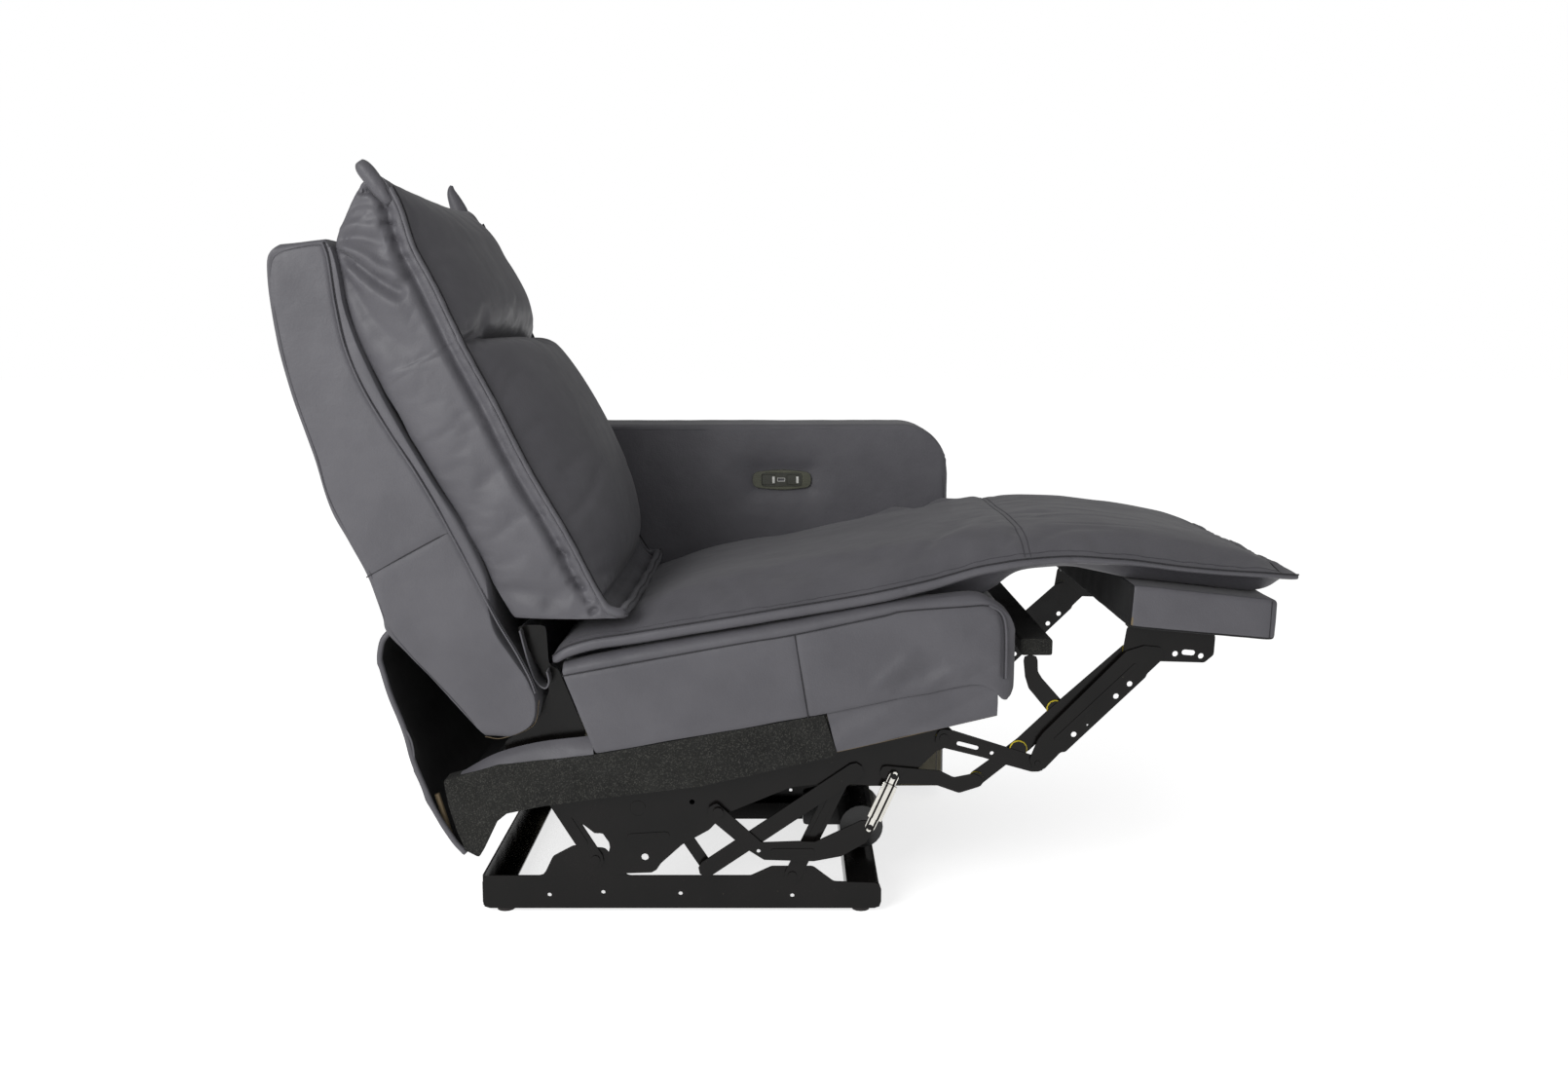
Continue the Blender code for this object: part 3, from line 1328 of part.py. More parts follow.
def make_footrest():
    corners = [*BOARD_BOTTOM, *reversed(BOARD_TOP)]
    span = (SEAT_RIGHT_Y + BOARD_SIDE_CLEARANCE, SEAT_LEFT_Y - BOARD_SIDE_CLEARANCE)
    board = prism("footrest_board", [rounded(corners, BOARD_CORNER, 2)], *span)
    soften(board, BOARD_EDGE, 1, 60)
    finish(board, FOOTREST, LEATHER)
    for word, side in SIDES:
        name = f"footrest_bracket_{word}"
        top = [(x, on_line(BOARD_BOTTOM, x, -FIT)) for x in FOOT_BRACKET_TOP_X]
        corners = [FOOT_BRACKET_REAR, *top, *FOOT_BRACKET_UNDER]
        holes = [circle(centre, FOOT_BRACKET_HOLE_RADIUS, 10) for centre in FOOT_BRACKET_HOLES]
        holes.append(slot(*FOOT_BRACKET_SLOT, FOOT_BRACKET_SLOT_HALF_WIDTH, 4))
        piece = plate(name, side, LAYER_1, rounded(corners, FOOT_BRACKET_CORNER, 2), holes)
        flange = [(x, on_line(BOARD_BOTTOM, x, -FIT)) for x in FOOT_FLANGE_X]
        flange += [(x, on_line(BOARD_BOTTOM, x, -FIT - STEEL)) for x in reversed(FOOT_FLANGE_X)]
        y = (side_y(side, LAYER_1 + STEEL / 2), side_y(side, LAYER_1 + FOOT_FLANGE_WIDTH))
        fuse(piece, prism("flange", [flange], *y))
        inner_washer(piece, side, CROSS_END, LAYER_1)
        finish(piece, FOOTREST, BLACK_STEEL)


# Cushions


def pad_rings(stations, rest):
    """Return the rings of a pad with a flat foot, drawn-in sides, a welt and a crown.

    rest gives the height on which the pad lies at x.
    """
    half = SEAT_WIDTH / 2
    rings = []
    for x, under, lip, welt, top in stations:
        rise = top - welt
        foot = rest(x) if under is None else under
        right = [(half - PAD_UNDERCUT, foot), (half - PAD_LIP_INSET, lip), (half, welt)]
        right += [(half - inset, welt + share * rise) for inset, share in PAD_CROWN]
        ring = [(y, z) for y, z in right] + [(0.0, top)]
        ring += [(-y, z) for y, z in reversed(right)]
        rings.append([(x, SEAT_MID_Y + y, z) for y, z in ring])
    return rings


def make_pads():
    def deck(x):
        return deck_z(x) + FIT * 2

    def board(x):
        return on_line(BOARD_TOP, x, FIT * 2)

    finish(loft("seat_pad", pad_rings(SEAT_PAD, deck)), SEAT, LEATHER)
    finish(loft("footrest_pad", pad_rings(FOOT_PAD, board)), FOOTREST, LEATHER)


def make_back():
    half = SEAT_WIDTH / 2
    rings = []
    for share in CUSHION_STATIONS:
        swell = 1 - abs(share) ** 3
        draw = CUSHION_SIDE_DRAW * abs(share) ** 12
        ring = []
        y = SEAT_MID_Y + share * half
        for x, z, crown in CUSHION_OUTLINE:
            lean = crown * swell
            ring.append((x + lean - draw, y, z + CUSHION_CROWN_RISE * lean))
        ring += [(x + CUSHION_SEAT_GAP, y, z) for x, z in reversed(SHELL_FRONT)]
        rings.append(ring)
    finish(loft("back_cushion", rings), BACK, LEATHER)
    piece = prism("back_shell", [SHELL_REAR + SHELL_FRONT + SHELL_TOP], SEAT_RIGHT_Y, SEAT_LEFT_Y)
    soften(piece, SHELL_EDGE, 2, 60)
    finish(piece, BACK, LEATHER)
    ends = (side_y(-1, LAYER_2 + STEEL + 2 * FIT), side_y(1, LAYER_2 + STEEL + 2 * FIT))
    tube = bar_y("back_hinge_tube", BACK_PIVOT, HINGE_TUBE_RADIUS, *ends, sides=16)
    px, pz = BACK_PIVOT
    foot = [(px - HINGE_TAB_HALF_FOOT, pz), (px + HINGE_TAB_HALF_FOOT, pz)]
    tab = foot + [(x, z - FIT) for x, z in HINGE_TAB_HEAD]
    inner = LAYER_2 + 2 * STEEL + HINGE_TAB_INSET
    for word, side in SIDES:
        y = (side_y(side, inner), side_y(side, inner + HINGE_TAB_WIDTH))
        fuse(tube, prism(f"hinge_tab_{word}", [tab], *y))
    finish(tube, BACK, BLACK_STEEL)
    inner = [(x + SKIRT_THICKNESS, z + SKIRT_LEAN) for x, z in reversed(SKIRT)]
    span = (SEAT_RIGHT_Y + SKIRT_SIDE_CLEARANCE, SEAT_LEFT_Y - SKIRT_SIDE_CLEARANCE)
    skirt = prism("rear_skirt", [SKIRT + inner], *span)
    finish(skirt, BACK, LEATHER)


# Actuator


def make_actuator():
    half = ACTUATOR_RAIL_WIDTH / 2
    low = ACTUATOR_RAIL_Z
    high = low + ACTUATOR_RAIL_HEIGHT
    y = (SEAT_MID_Y - half, SEAT_MID_Y + half)
    rail = box("actuator_rail", (ACTUATOR_RAIL_REAR_X, ACTUATOR_RAIL_FRONT_X), y, (low, high))
    groove = box(
        "groove",
        (ACTUATOR_RAIL_REAR_X + ACTUATOR_WALL, ACTUATOR_RAIL_FRONT_X + 0.01),
        (y[0] + ACTUATOR_WALL, y[1] - ACTUATOR_WALL),
        (low + ACTUATOR_WALL, high + 0.01),
    )
    finish(cut(rail, groove), BASE, ZINC)
    heel, *nose = GEARBOX_FRONT
    gear = [
        (ACTUATOR_RAIL_FRONT_X + FIT, GEARBOX_LOW),
        (MOTOR_CENTRE[0] + heel[0], GEARBOX_LOW),
        *[(MOTOR_CENTRE[0] + x, MOTOR_CENTRE[1] + z) for x, z in nose],
        (ACTUATOR_RAIL_FRONT_X + FIT, high + GEARBOX_REAR_RISE),
    ]
    span = (SEAT_MID_Y - GEARBOX_HALF_WIDTH, SEAT_MID_Y + GEARBOX_HALF_WIDTH)
    motor = prism("actuator_motor", [rounded(gear, GEARBOX_CORNER, 2)], *span)
    start = SEAT_MID_Y - MOTOR_OFFSET
    can = bar_y("motor_can", MOTOR_CENTRE, MOTOR_RADIUS, start, start - MOTOR_LENGTH, 24)
    finish(fuse(motor, can), BASE, BLACK_PLASTIC)
    slide_low = low + ACTUATOR_WALL + FIT
    width = half - ACTUATOR_WALL - FIT
    px, pz = CRANK_PIN
    slider = box(
        "actuator_slider",
        (px - SLIDER_LENGTH / 2, px + SLIDER_LENGTH / 2),
        (SEAT_MID_Y - width, SEAT_MID_Y + width),
        (slide_low, pz + SLIDER_RISE),
    )
    ends = (SEAT_MID_Y - SLIDER_PIN_REACH, SEAT_MID_Y + SLIDER_PIN_REACH)
    fuse(slider, bar_y("slider_pin", CRANK_PIN, CRANK_PIN_RADIUS, *ends))
    finish(slider, SLIDER, BLACK_PLASTIC)
    make_drive_tube()


def make_drive_tube():
    reach = LAYER_2 - FIT
    tube = bar_y(
        "drive_tube", DRIVE_AXIS, DRIVE_TUBE_RADIUS, side_y(-1, reach), side_y(1, reach), sides=16
    )
    axis = Vector(CRANK_PIN) - Vector(DRIVE_AXIS)
    length = axis.length
    wide = CRANK_PIN_RADIUS + CRANK_SLOT_CLEARANCE
    fork = along_link(
        DRIVE_AXIS,
        CRANK_PIN,
        [
            (-FORK_HEEL, -FORK_HALF_WIDTH),
            (-FORK_HEEL, FORK_HALF_WIDTH),
            (length + FORK_TIP, FORK_HALF_WIDTH),
            (length + FORK_TIP, wide),
            (length - FORK_SLOT, wide),
            (length - FORK_SLOT, -wide),
            (length + FORK_TIP, -wide),
            (length + FORK_TIP, -FORK_HALF_WIDTH),
        ],
    )
    half = ACTUATOR_RAIL_WIDTH / 2 + FORK_GAP
    for sign in (-1, 1):
        y = sorted((SEAT_MID_Y + sign * half, SEAT_MID_Y + sign * (half + FORK_THICKNESS)))
        fuse(tube, prism(f"crank_{sign + 1}", [fork], *y))
    finish(tube, DRIVE, BLACK_STEEL)


make_base()
make_arm()
make_controls()
make_lift_links()
make_side_plates()
make_rails()
make_seat_box()
make_apron()
make_back_brackets()
make_braces()
make_upper_links()
make_lower_links()
make_cross_links()
make_front_bars()
make_mid_brackets()
make_footrest()
make_pads()
make_back()
make_actuator()
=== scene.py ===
"""Looks of a power recliner with one arm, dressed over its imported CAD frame.

Metres, in the frame of the CAD: +X to the front, +Y to the arm's side, +Z up, floor at Z = 0.
Side-view points are (x, z) pairs from the side datum, which lies DATUM_X from the origin.
"""

import logging
import math
from dataclasses import dataclass, field, replace
from enum import Enum
from typing import Callable, Iterable, Sequence
import bmesh
import bpy
import numpy as np
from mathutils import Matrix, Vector, noise
from mathutils.bvhtree import BVHTree


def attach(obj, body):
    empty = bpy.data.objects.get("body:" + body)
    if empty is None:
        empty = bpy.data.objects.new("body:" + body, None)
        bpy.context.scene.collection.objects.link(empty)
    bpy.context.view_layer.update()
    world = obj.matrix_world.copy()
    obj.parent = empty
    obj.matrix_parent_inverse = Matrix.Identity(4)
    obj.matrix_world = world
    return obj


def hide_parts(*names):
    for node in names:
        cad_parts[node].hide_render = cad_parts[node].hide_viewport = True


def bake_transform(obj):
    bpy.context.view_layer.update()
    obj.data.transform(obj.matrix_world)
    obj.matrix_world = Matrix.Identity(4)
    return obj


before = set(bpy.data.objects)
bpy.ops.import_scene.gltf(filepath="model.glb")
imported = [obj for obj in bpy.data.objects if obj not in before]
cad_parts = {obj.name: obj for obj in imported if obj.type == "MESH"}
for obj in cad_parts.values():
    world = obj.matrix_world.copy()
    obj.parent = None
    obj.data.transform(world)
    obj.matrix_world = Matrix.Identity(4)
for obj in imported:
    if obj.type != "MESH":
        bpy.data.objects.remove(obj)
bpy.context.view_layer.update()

LOG = logging.getLogger("recliner")
DATUM_X = -0.011
SEAT_RIGHT_Y, SEAT_LEFT_Y, ARM_INNER_Y, ARM_OUTER_Y = -0.390, 0.210, 0.220, 0.390
SEAT_MID_Y = (SEAT_RIGHT_Y + SEAT_LEFT_Y) / 2
HALF_SEAT = (SEAT_LEFT_Y - SEAT_RIGHT_Y) / 2
SIDES = (("near", -1), ("far", 1))
MM_PER_M = 1000.0

Pair = tuple[float, float]
Socket = bpy.types.NodeSocket
Object = bpy.types.Object


# Finishes


def linear(code: str) -> tuple[float, float, float, float]:
    """Turn an sRGB hex colour into a linear one.

    Args:
        code: six hex digits after a hash.

    Returns:
        Linear red, green and blue, with an alpha of 1.
    """
    parts = [int(code[n : n + 2], 16) / 255 for n in (1, 3, 5)]
    turned = [p / 12.92 if p <= 0.04045 else ((p + 0.055) / 1.055) ** 2.4 for p in parts]
    return (turned[0], turned[1], turned[2], 1.0)


@dataclass(frozen=True)
class Nodes:
    """Lays shader nodes in one tree, by the few moves that the finishes share."""

    tree: bpy.types.NodeTree

    def add(self, kind: str, inputs: dict, **settings) -> bpy.types.Node:
        """Add a node with its settings, values and links.

        Args:
            kind: Blender's name of the node, after ShaderNode.
            inputs: socket name or number, to a value or to the socket that feeds it.
            settings: the node's own options.

        Returns:
            The new node.
        """
        node = self.tree.nodes.new(f"ShaderNode{kind}")
        for key, value in settings.items():
            setattr(node, key, value)
        for key, value in inputs.items():
            if isinstance(value, Socket):
                self.tree.links.new(value, node.inputs[key])
            else:
                node.inputs[key].default_value = value
        return node

    def noise(self, place: Socket, size_mm: float, detail: float, roughness: float = 0.5) -> Socket:
        """Return a noise whose features are about size_mm wide."""
        inputs = {"Vector": place, "Scale": MM_PER_M / size_mm, "Detail": detail, "Roughness": roughness}
        return self.add("TexNoise", inputs).outputs["Fac"]

    def spread(
        self, value: Socket, low: float, high: float, start: float | Socket = 0.0, end: float = 1.0
    ) -> Socket:
        """Return a value between start and end for one between low and high."""
        inputs = {"Value": value, "From Min": low, "From Max": high, "To Min": start, "To Max": end}
        return self.add("MapRange", inputs).outputs["Result"]

    def mix(self, share: Socket, *colours: Socket | str) -> Socket:
        """Return the mix of two colours, each a socket or a hex code."""
        first, second = (c if isinstance(c, Socket) else linear(c) for c in colours)
        return self.add("Mix", {0: share, 6: first, 7: second}, data_type="RGBA").outputs[2]

    def maths(self, operation: str, *values: Socket | float) -> Socket:
        """Return the result of one operation on sockets and numbers."""
        return self.add("Math", dict(enumerate(values)), operation=operation).outputs[0]

    def bump(self, height: Socket, depth_mm: float, under: dict | None = None, invert: bool = False) -> Socket:
        """Return the normals of a relief of the given depth, over the relief that under names."""
        inputs = {"Height": height, "Strength": 1.0, "Distance": depth_mm / MM_PER_M, **(under or {})}
        return self.add("Bump", inputs, invert=invert).outputs["Normal"]


@dataclass(frozen=True)
class Finish:
    """A finish with a colour that wanders between two tones and a fine relief.

    The child classes say what the real material is and add what is its own.
    """

    name: str
    tone: str
    other_tone: str
    roughness: float
    metallic: float = 0.0
    patch_mm: float = 90.0
    rub_mm: float = 35.0
    rub_depth: float = 0.05
    grain_mm: float = 2.0
    grain_depth_mm: float = 0.05
    shader_values: tuple[tuple[str, float], ...] = ()

    def material(self) -> bpy.types.Material:
        """Return the material, made the first time that it is asked for.

        Returns:
            The material.
        """
        made = bpy.data.materials.get(self.name)
        if made is None:
            made = bpy.data.materials.new(self.name)
            made.use_nodes = True
            made.node_tree.nodes.clear()
            self.build(Nodes(made.node_tree))
        return made

    def build(self, nodes: Nodes) -> None:
        """Lay the nodes of the finish.

        Args:
            nodes: the material's empty tree.
        """
        place = nodes.add("TexCoord", {}).outputs["Object"]
        values = {
            "Metallic": self.metallic,
            "Base Color": self.colour(nodes, place),
            "Roughness": self.gloss(nodes, place),
            "Normal": self.relief(nodes, place),
            **dict(self.shader_values),
        }
        nodes.add("OutputMaterial", {"Surface": nodes.add("BsdfPrincipled", values).outputs["BSDF"]})

    def colour(self, nodes: Nodes, place: Socket) -> Socket:
        """Mix the two tones in soft patches."""
        patches = nodes.spread(nodes.noise(place, self.patch_mm, 4.0), 0.35, 0.65)
        return nodes.mix(patches, self.tone, self.other_tone)

    def gloss(self, nodes: Nodes, place: Socket) -> Socket:
        """Let the roughness wander a little, as on a handled surface."""
        rubbed, wander = nodes.noise(place, self.rub_mm, 3.0), self.rub_depth
        return nodes.spread(rubbed, 0.3, 0.7, self.roughness - wander, self.roughness + wander)

    def relief(self, nodes: Nodes, place: Socket) -> Socket:
        """Raise the fine grain of the surface."""
        return nodes.bump(nodes.noise(place, self.grain_mm, 2.0), self.grain_depth_mm)


@dataclass(frozen=True)
class PigmentedLeather(Finish):
    """Corrected cattle leather with a printed pebble grain and a satin top coat.

    It gives the eye a soft grey with a broad dull sheen, cloudy rubbed patches and a fine pebble.
    The real grain is about 1 mm, too fine to show, so it is drawn at 2.6 mm.
    """

    pebble_mm: float = 2.6
    swell_mm: float = 28.0
    swell_depth_mm: float = 1.1

    def relief(self, nodes: Nodes, place: Socket) -> Socket:
        """Raise pebbles between fine creases, over slow unevenness.

        Args:
            nodes: the material's tree.
            place: the coordinates.

        Returns:
            The normals.
        """
        slow = nodes.bump(nodes.noise(place, self.swell_mm, 4.0), self.swell_depth_mm)
        inputs = {"Vector": place, "Scale": MM_PER_M / self.pebble_mm, "Smoothness": 0.6}
        pebbles = nodes.add("TexVoronoi", inputs, feature="SMOOTH_F1").outputs["Distance"]
        return nodes.bump(pebbles, self.grain_depth_mm, {"Normal": slow}, invert=True)


@dataclass(frozen=True)
class NeedledFelt(Finish):
    """Needle-punched felt of mixed dark and pale fibres.

    It gives the eye a dull, light-eating surface with pale flecks. The fibres are 0.05 mm, too
    fine to show, so the flecks are drawn at 1.6 to 2.2 mm.
    """

    fleck: str = "#6c6f69"
    fleck_mm: float = 2.2

    def colour(self, nodes: Nodes, place: Socket) -> Socket:
        """Scatter pale flecks over the cloudy ground colour."""
        flecks = nodes.spread(nodes.noise(place, self.fleck_mm, 5.0, 0.75), 0.52, 0.74)
        return nodes.mix(flecks, super().colour(nodes, place), self.fleck)


@dataclass(frozen=True)
class DippedSteel(Finish):
    """Stamped steel with a dipped black paint.

    It gives the eye a warm black with a satin shine that breaks into streaks along bends, a
    slight orange peel, and pale spots that are partly rubbed bare paint, partly painted glint highlight.
    """

    glint: str = "#6f6a60"
    glint_mm: float = 5.0

    def colour(self, nodes: Nodes, place: Socket) -> Socket:
        """Add sparse pale spots to the paint: partly rubbed wear, partly painted glint highlight."""
        spots = nodes.spread(nodes.noise(place, self.glint_mm, 6.0, 0.7), 0.68, 0.80, end=0.8)
        return nodes.mix(spots, super().colour(nodes, place), self.glint)


@dataclass(frozen=True)
class WasheredSteel(DippedSteel):
    """Dipped steel links with yellow nylon washers pressed on their pivots.

    The washers are told by their distance from the chair's middle plane, where nothing else lies.
    """

    washer: str = "#e0cc2a"
    washer_off: float = 0.2674
    washer_half: float = 0.0008

    def colour(self, nodes: Nodes, place: Socket) -> Socket:
        """Colour the washers' layer yellow.

        Args:
            nodes: the material's tree.
            place: the coordinates.

        Returns:
            The colour.
        """
        y = nodes.add("SeparateXYZ", {0: place}).outputs["Y"]
        off = nodes.maths("ABSOLUTE", nodes.maths("SUBTRACT", y, SEAT_MID_Y))
        layer = nodes.maths("COMPARE", off, self.washer_off, self.washer_half)
        return nodes.mix(layer, super().colour(nodes, place), self.washer)


@dataclass(frozen=True)
class DrawnMetal(Finish):
    """Bright zinc-plated steel, drawn through a die.

    It gives the eye sharp pale and dark streaks along its length, with fine scratches.
    """

    stretch: tuple[float, float, float] = (1.0, 8.0, 1.0)

    def relief(self, nodes: Nodes, place: Socket) -> Socket:
        """Stretch the grain into draw marks."""
        drawn = nodes.add("Mapping", {"Vector": place, "Scale": self.stretch})
        return super().relief(nodes, drawn.outputs["Vector"])


@dataclass(frozen=True)
class GroovedZinc(DrawnMetal):
    """Bright zinc-plated strut with two rolled grooves, painted dark as their shade and their reflection of the dark
    linkage.

    The grooves lie at equal distances from the line through the strut's foot.
    """

    foot: Pair = (0.1225, 0.1345)
    way: Pair = (0.4107, 0.9118)
    groove_shade: str = "#1c1b19"
    groove_off: float = 0.0046
    groove_half: float = 0.0015

    def colour(self, nodes: Nodes, place: Socket) -> Socket:
        """Paint shade and a dark reflection into the two grooves.

        Args:
            nodes: the material's tree.
            place: the coordinates.

        Returns:
            The colour.
        """
        normal = (self.way[1], 0.0, -self.way[0])
        foot = (self.foot[0] + DATUM_X) * normal[0] + self.foot[1] * normal[2]
        across = nodes.add("VectorMath", {0: place, 1: normal}, operation="DOT_PRODUCT").outputs["Value"]
        off = nodes.maths("ABSOLUTE", nodes.maths("SUBTRACT", across, foot))
        groove_shade = nodes.maths("COMPARE", off, self.groove_off, self.groove_half)
        return nodes.mix(groove_shade, super().colour(nodes, place), self.groove_shade)


@dataclass(frozen=True)
class SawnBoard(Finish):
    """Raw plywood edge: pale tan, dry, with long grain lines across the cut."""

    wave_mm: float = 54.0

    def colour(self, nodes: Nodes, place: Socket) -> Socket:
        """Band the tones into plies."""
        inputs = {"Vector": place, "Scale": MM_PER_M / self.wave_mm, "Distortion": 2.5, "Detail": 3.0}
        plies = nodes.add("TexWave", inputs, bands_direction="Y").outputs["Fac"]
        return nodes.mix(plies, self.tone, self.other_tone)


SHEEN = (("Sheen Weight", 0.10), ("Sheen Roughness", 0.5), ("IOR", 1.48), ("Specular IOR Level", 0.42))
LEATHER = PigmentedLeather("grey_leather", "#605f64", "#59585d", 0.50, grain_depth_mm=0.16, shader_values=SHEEN)
# Dark leather for seam lines and groove tubes: painted shade in the valleys of seams and grooves.
SEAM_SHADE_LEATHER = PigmentedLeather(
    "seam_shadow_leather", "#2a292d", "#222125", 0.6, grain_depth_mm=0.10, shader_values=SHEEN
)
THREAD = Finish("bonded_thread", "#4b4a4f", "#434247", 0.5, grain_mm=0.8)
FELT = NeedledFelt(
    "charcoal_felt", "#141413", "#1d1d1b", 0.97, grain_mm=1.6, grain_depth_mm=0.5, fleck="#666660", fleck_mm=1.6
)
BLACK_CLOTH = NeedledFelt(
    "black_cambric", "#0f0f10", "#151516", 0.95, grain_mm=1.2, grain_depth_mm=0.1, fleck="#1d1d1e"
)
# Taupe lining with its tone painted lighter than the cloth: painted light where it lies in shade under the arm and the
# flaps.
LIGHTENED_LINING = NeedledFelt(
    "taupe_lining", "#9a9583", "#8c8776", 0.95, grain_mm=1.6, grain_depth_mm=0.2, fleck="#aaa58f", fleck_mm=1.8
)
PAINT = ("#0c0b0a", "#131110", 0.23)
PAINT_COAT = {"grain_mm": 1.6, "grain_depth_mm": 0.012, "shader_values": (("Specular IOR Level", 0.20),)}
BLACK_STEEL = DippedSteel("dipped_black_steel", *PAINT, **PAINT_COAT)
WASHERED_STEEL = WasheredSteel("washered_black_steel", *PAINT, **PAINT_COAT)
CROSS_STEEL = WasheredSteel("washered_cross_steel", *PAINT, **PAINT_COAT, washer_off=0.2620)
RAW_EDGE = SawnBoard("raw_tan_edge", "#84745a", "#6d604b", 0.85, grain_mm=1.2)
STRUT_ZINC = GroovedZinc("grooved_zinc", "#e4e2dc", "#cfccc4", 0.24, 0.8, grain_mm=1.2, grain_depth_mm=0.010)
SPRING_STEEL = DrawnMetal("spring_steel", "#8f8c86", "#77746e", 0.32, 1.0, grain_mm=1.5, grain_depth_mm=0.010)
YELLOW_NYLON = Finish("yellow_nylon", "#d9c62e", "#c9b526", 0.42, grain_mm=1.5, grain_depth_mm=0.02)
MOTOR_PLASTIC = Finish("moulded_black_abs", "#0e0e0f", "#151516", 0.24, grain_mm=1.2, grain_depth_mm=0.012)
BUTTON_PLASTIC = Finish("smoked_abs", "#33342a", "#3b3c32", 0.28, grain_mm=0.8, grain_depth_mm=0.010)
BEZEL_METAL = Finish("plated_smoke_abs", "#5f6052", "#4b4c42", 0.26, 0.6, grain_mm=1.0, grain_depth_mm=0.010)
WHITE_INLAY = Finish("white_inlay", "#f2f2ec", "#e6e6e0", 0.35, grain_mm=0.8, grain_depth_mm=0.008)
RUBBER = Finish("black_rubber", "#1d1918", "#272120", 0.72, grain_mm=1.5)


# Bench work: the moves that shape and finish a piece

WELD = 0.00005
FINE_STEPS = 12
SMOOTH_ANGLE = math.radians(40)
CLOTH = {
    "quality": 5,
    "mass": 0.25,
    "air_damping": 4.0,
    "tension_stiffness": 20,
    "compression_stiffness": 20,
    "shear_stiffness": 8,
    "bending_stiffness": 0.6,
    "use_pressure": True,
}


def at(x: float, y: float, z: float) -> Vector:
    """Turn a side-view place and a Y into a point of the frame."""
    return Vector((x + DATUM_X, y, z))


def fall(share: float, power: float = 2.0) -> float:
    """Return how far a quarter circle of radius 1 falls over a share of its radius."""
    return 1 - math.sqrt(max(0.0, 1 - share**power))


def activate(piece: Object) -> None:
    """Select one object alone and make it active.

    Args:
        piece: the object.
    """
    if bpy.context.mode != "OBJECT":
        bpy.ops.object.mode_set(mode="OBJECT")
    bpy.ops.object.select_all(action="DESELECT")
    piece.select_set(True)
    bpy.context.view_layer.objects.active = piece


def apply_modifier(piece: Object, kind: str, **settings) -> None:
    """Add a modifier with its settings and apply it.

    Args:
        piece: the object.
        kind: Blender's name of the modifier.
        settings: the modifier's options.
    """
    activate(piece)
    modifier = piece.modifiers.new(kind.lower(), kind)
    for key, value in settings.items():
        setattr(modifier, key, value)
    bpy.ops.object.modifier_apply(modifier=modifier.name)


def subdivide(piece: Object, levels: int = 1) -> None:
    """Round a piece off with an applied subdivision surface."""
    apply_modifier(piece, "SUBSURF", levels=levels, render_levels=levels)


def thicken(sheet: Object, thick: float) -> float:
    """Give a sheet its thickness and return the area that it had before."""
    area = sum(p.area for p in sheet.data.polygons)
    apply_modifier(sheet, "SOLIDIFY", thickness=thick, offset=0.0)
    return area


def cast(name: str, add: Callable, **options) -> Object:
    """Add a primitive and apply its place, turn and size.

    Args:
        name: the piece's name.
        add: Blender's operator for the primitive.
        options: the operator's options.

    Returns:
        The object, at the origin.
    """
    bpy.ops.object.select_all(action="DESELECT")
    add(**options)
    made = bpy.context.view_layer.objects.active
    made.name = name
    bpy.ops.object.transform_apply(location=True, rotation=True, scale=True)
    return made


def from_points(name: str, points: Sequence[Vector], faces: Sequence[Sequence[int]]) -> Object:
    """Make an object from points and faces, its faces pointing out.

    Args:
        name: the piece's name.
        points: the vertices.
        faces: vertex numbers of each face.

    Returns:
        The object, at the origin.
    """
    mesh = bpy.data.meshes.new(name)
    mesh.from_pydata([tuple(p) for p in points], [], [list(f) for f in faces])
    shape = bmesh.new()
    shape.from_mesh(mesh)
    bmesh.ops.recalc_face_normals(shape, faces=shape.faces[:])
    shape.to_mesh(mesh)
    shape.free()
    made = bpy.data.objects.new(name, mesh)
    bpy.context.scene.collection.objects.link(made)
    return made


def woven(name: str, lines: Sequence[Sequence[Vector]]) -> Object:
    """Weave an open sheet through lines with equal counts of points.

    Args:
        name: the piece's name.
        lines: the lines, side by side.

    Returns:
        The sheet, without thickness.
    """
    rows = len(lines[0])
    faces = [
        (i * rows + j, i * rows + j + 1, (i + 1) * rows + j + 1, (i + 1) * rows + j)
        for i in range(len(lines) - 1)
        for j in range(rows - 1)
    ]
    return from_points(name, [p for line in lines for p in line], faces)


def tube(name: str, path: Sequence[Vector], radius: float | Sequence[float]) -> Object:
    """Bend a round rod along a path and turn it into a mesh with closed ends.

    Args:
        name: the piece's name.
        path: the points that it follows.
        radius: its radius, or one radius for each point.

    Returns:
        The object, at the origin.
    """
    radii = list(radius) if isinstance(radius, (list, tuple)) else [radius] * len(path)
    curve = bpy.data.curves.new(name, "CURVE")
    curve.dimensions = "3D"
    curve.bevel_depth = 1.0
    curve.bevel_resolution = 2
    curve.use_fill_caps = True
    spline = curve.splines.new("POLY")
    spline.points.add(len(path) - 1)
    for point, place, size in zip(spline.points, path, radii):
        point.co = (*place, 1)
        point.radius = size
    made = bpy.data.objects.new(name, curve)
    bpy.context.scene.collection.objects.link(made)
    activate(made)
    bpy.ops.object.convert(target="MESH")
    made = bpy.context.view_layer.objects.active
    made.name = name
    activate(made)
    bpy.ops.object.mode_set(mode="EDIT")
    bpy.ops.mesh.select_all(action="SELECT")
    bpy.ops.mesh.remove_doubles(threshold=WELD)
    bpy.ops.mesh.normals_make_consistent(inside=False)
    bpy.ops.object.mode_set(mode="OBJECT")
    return made


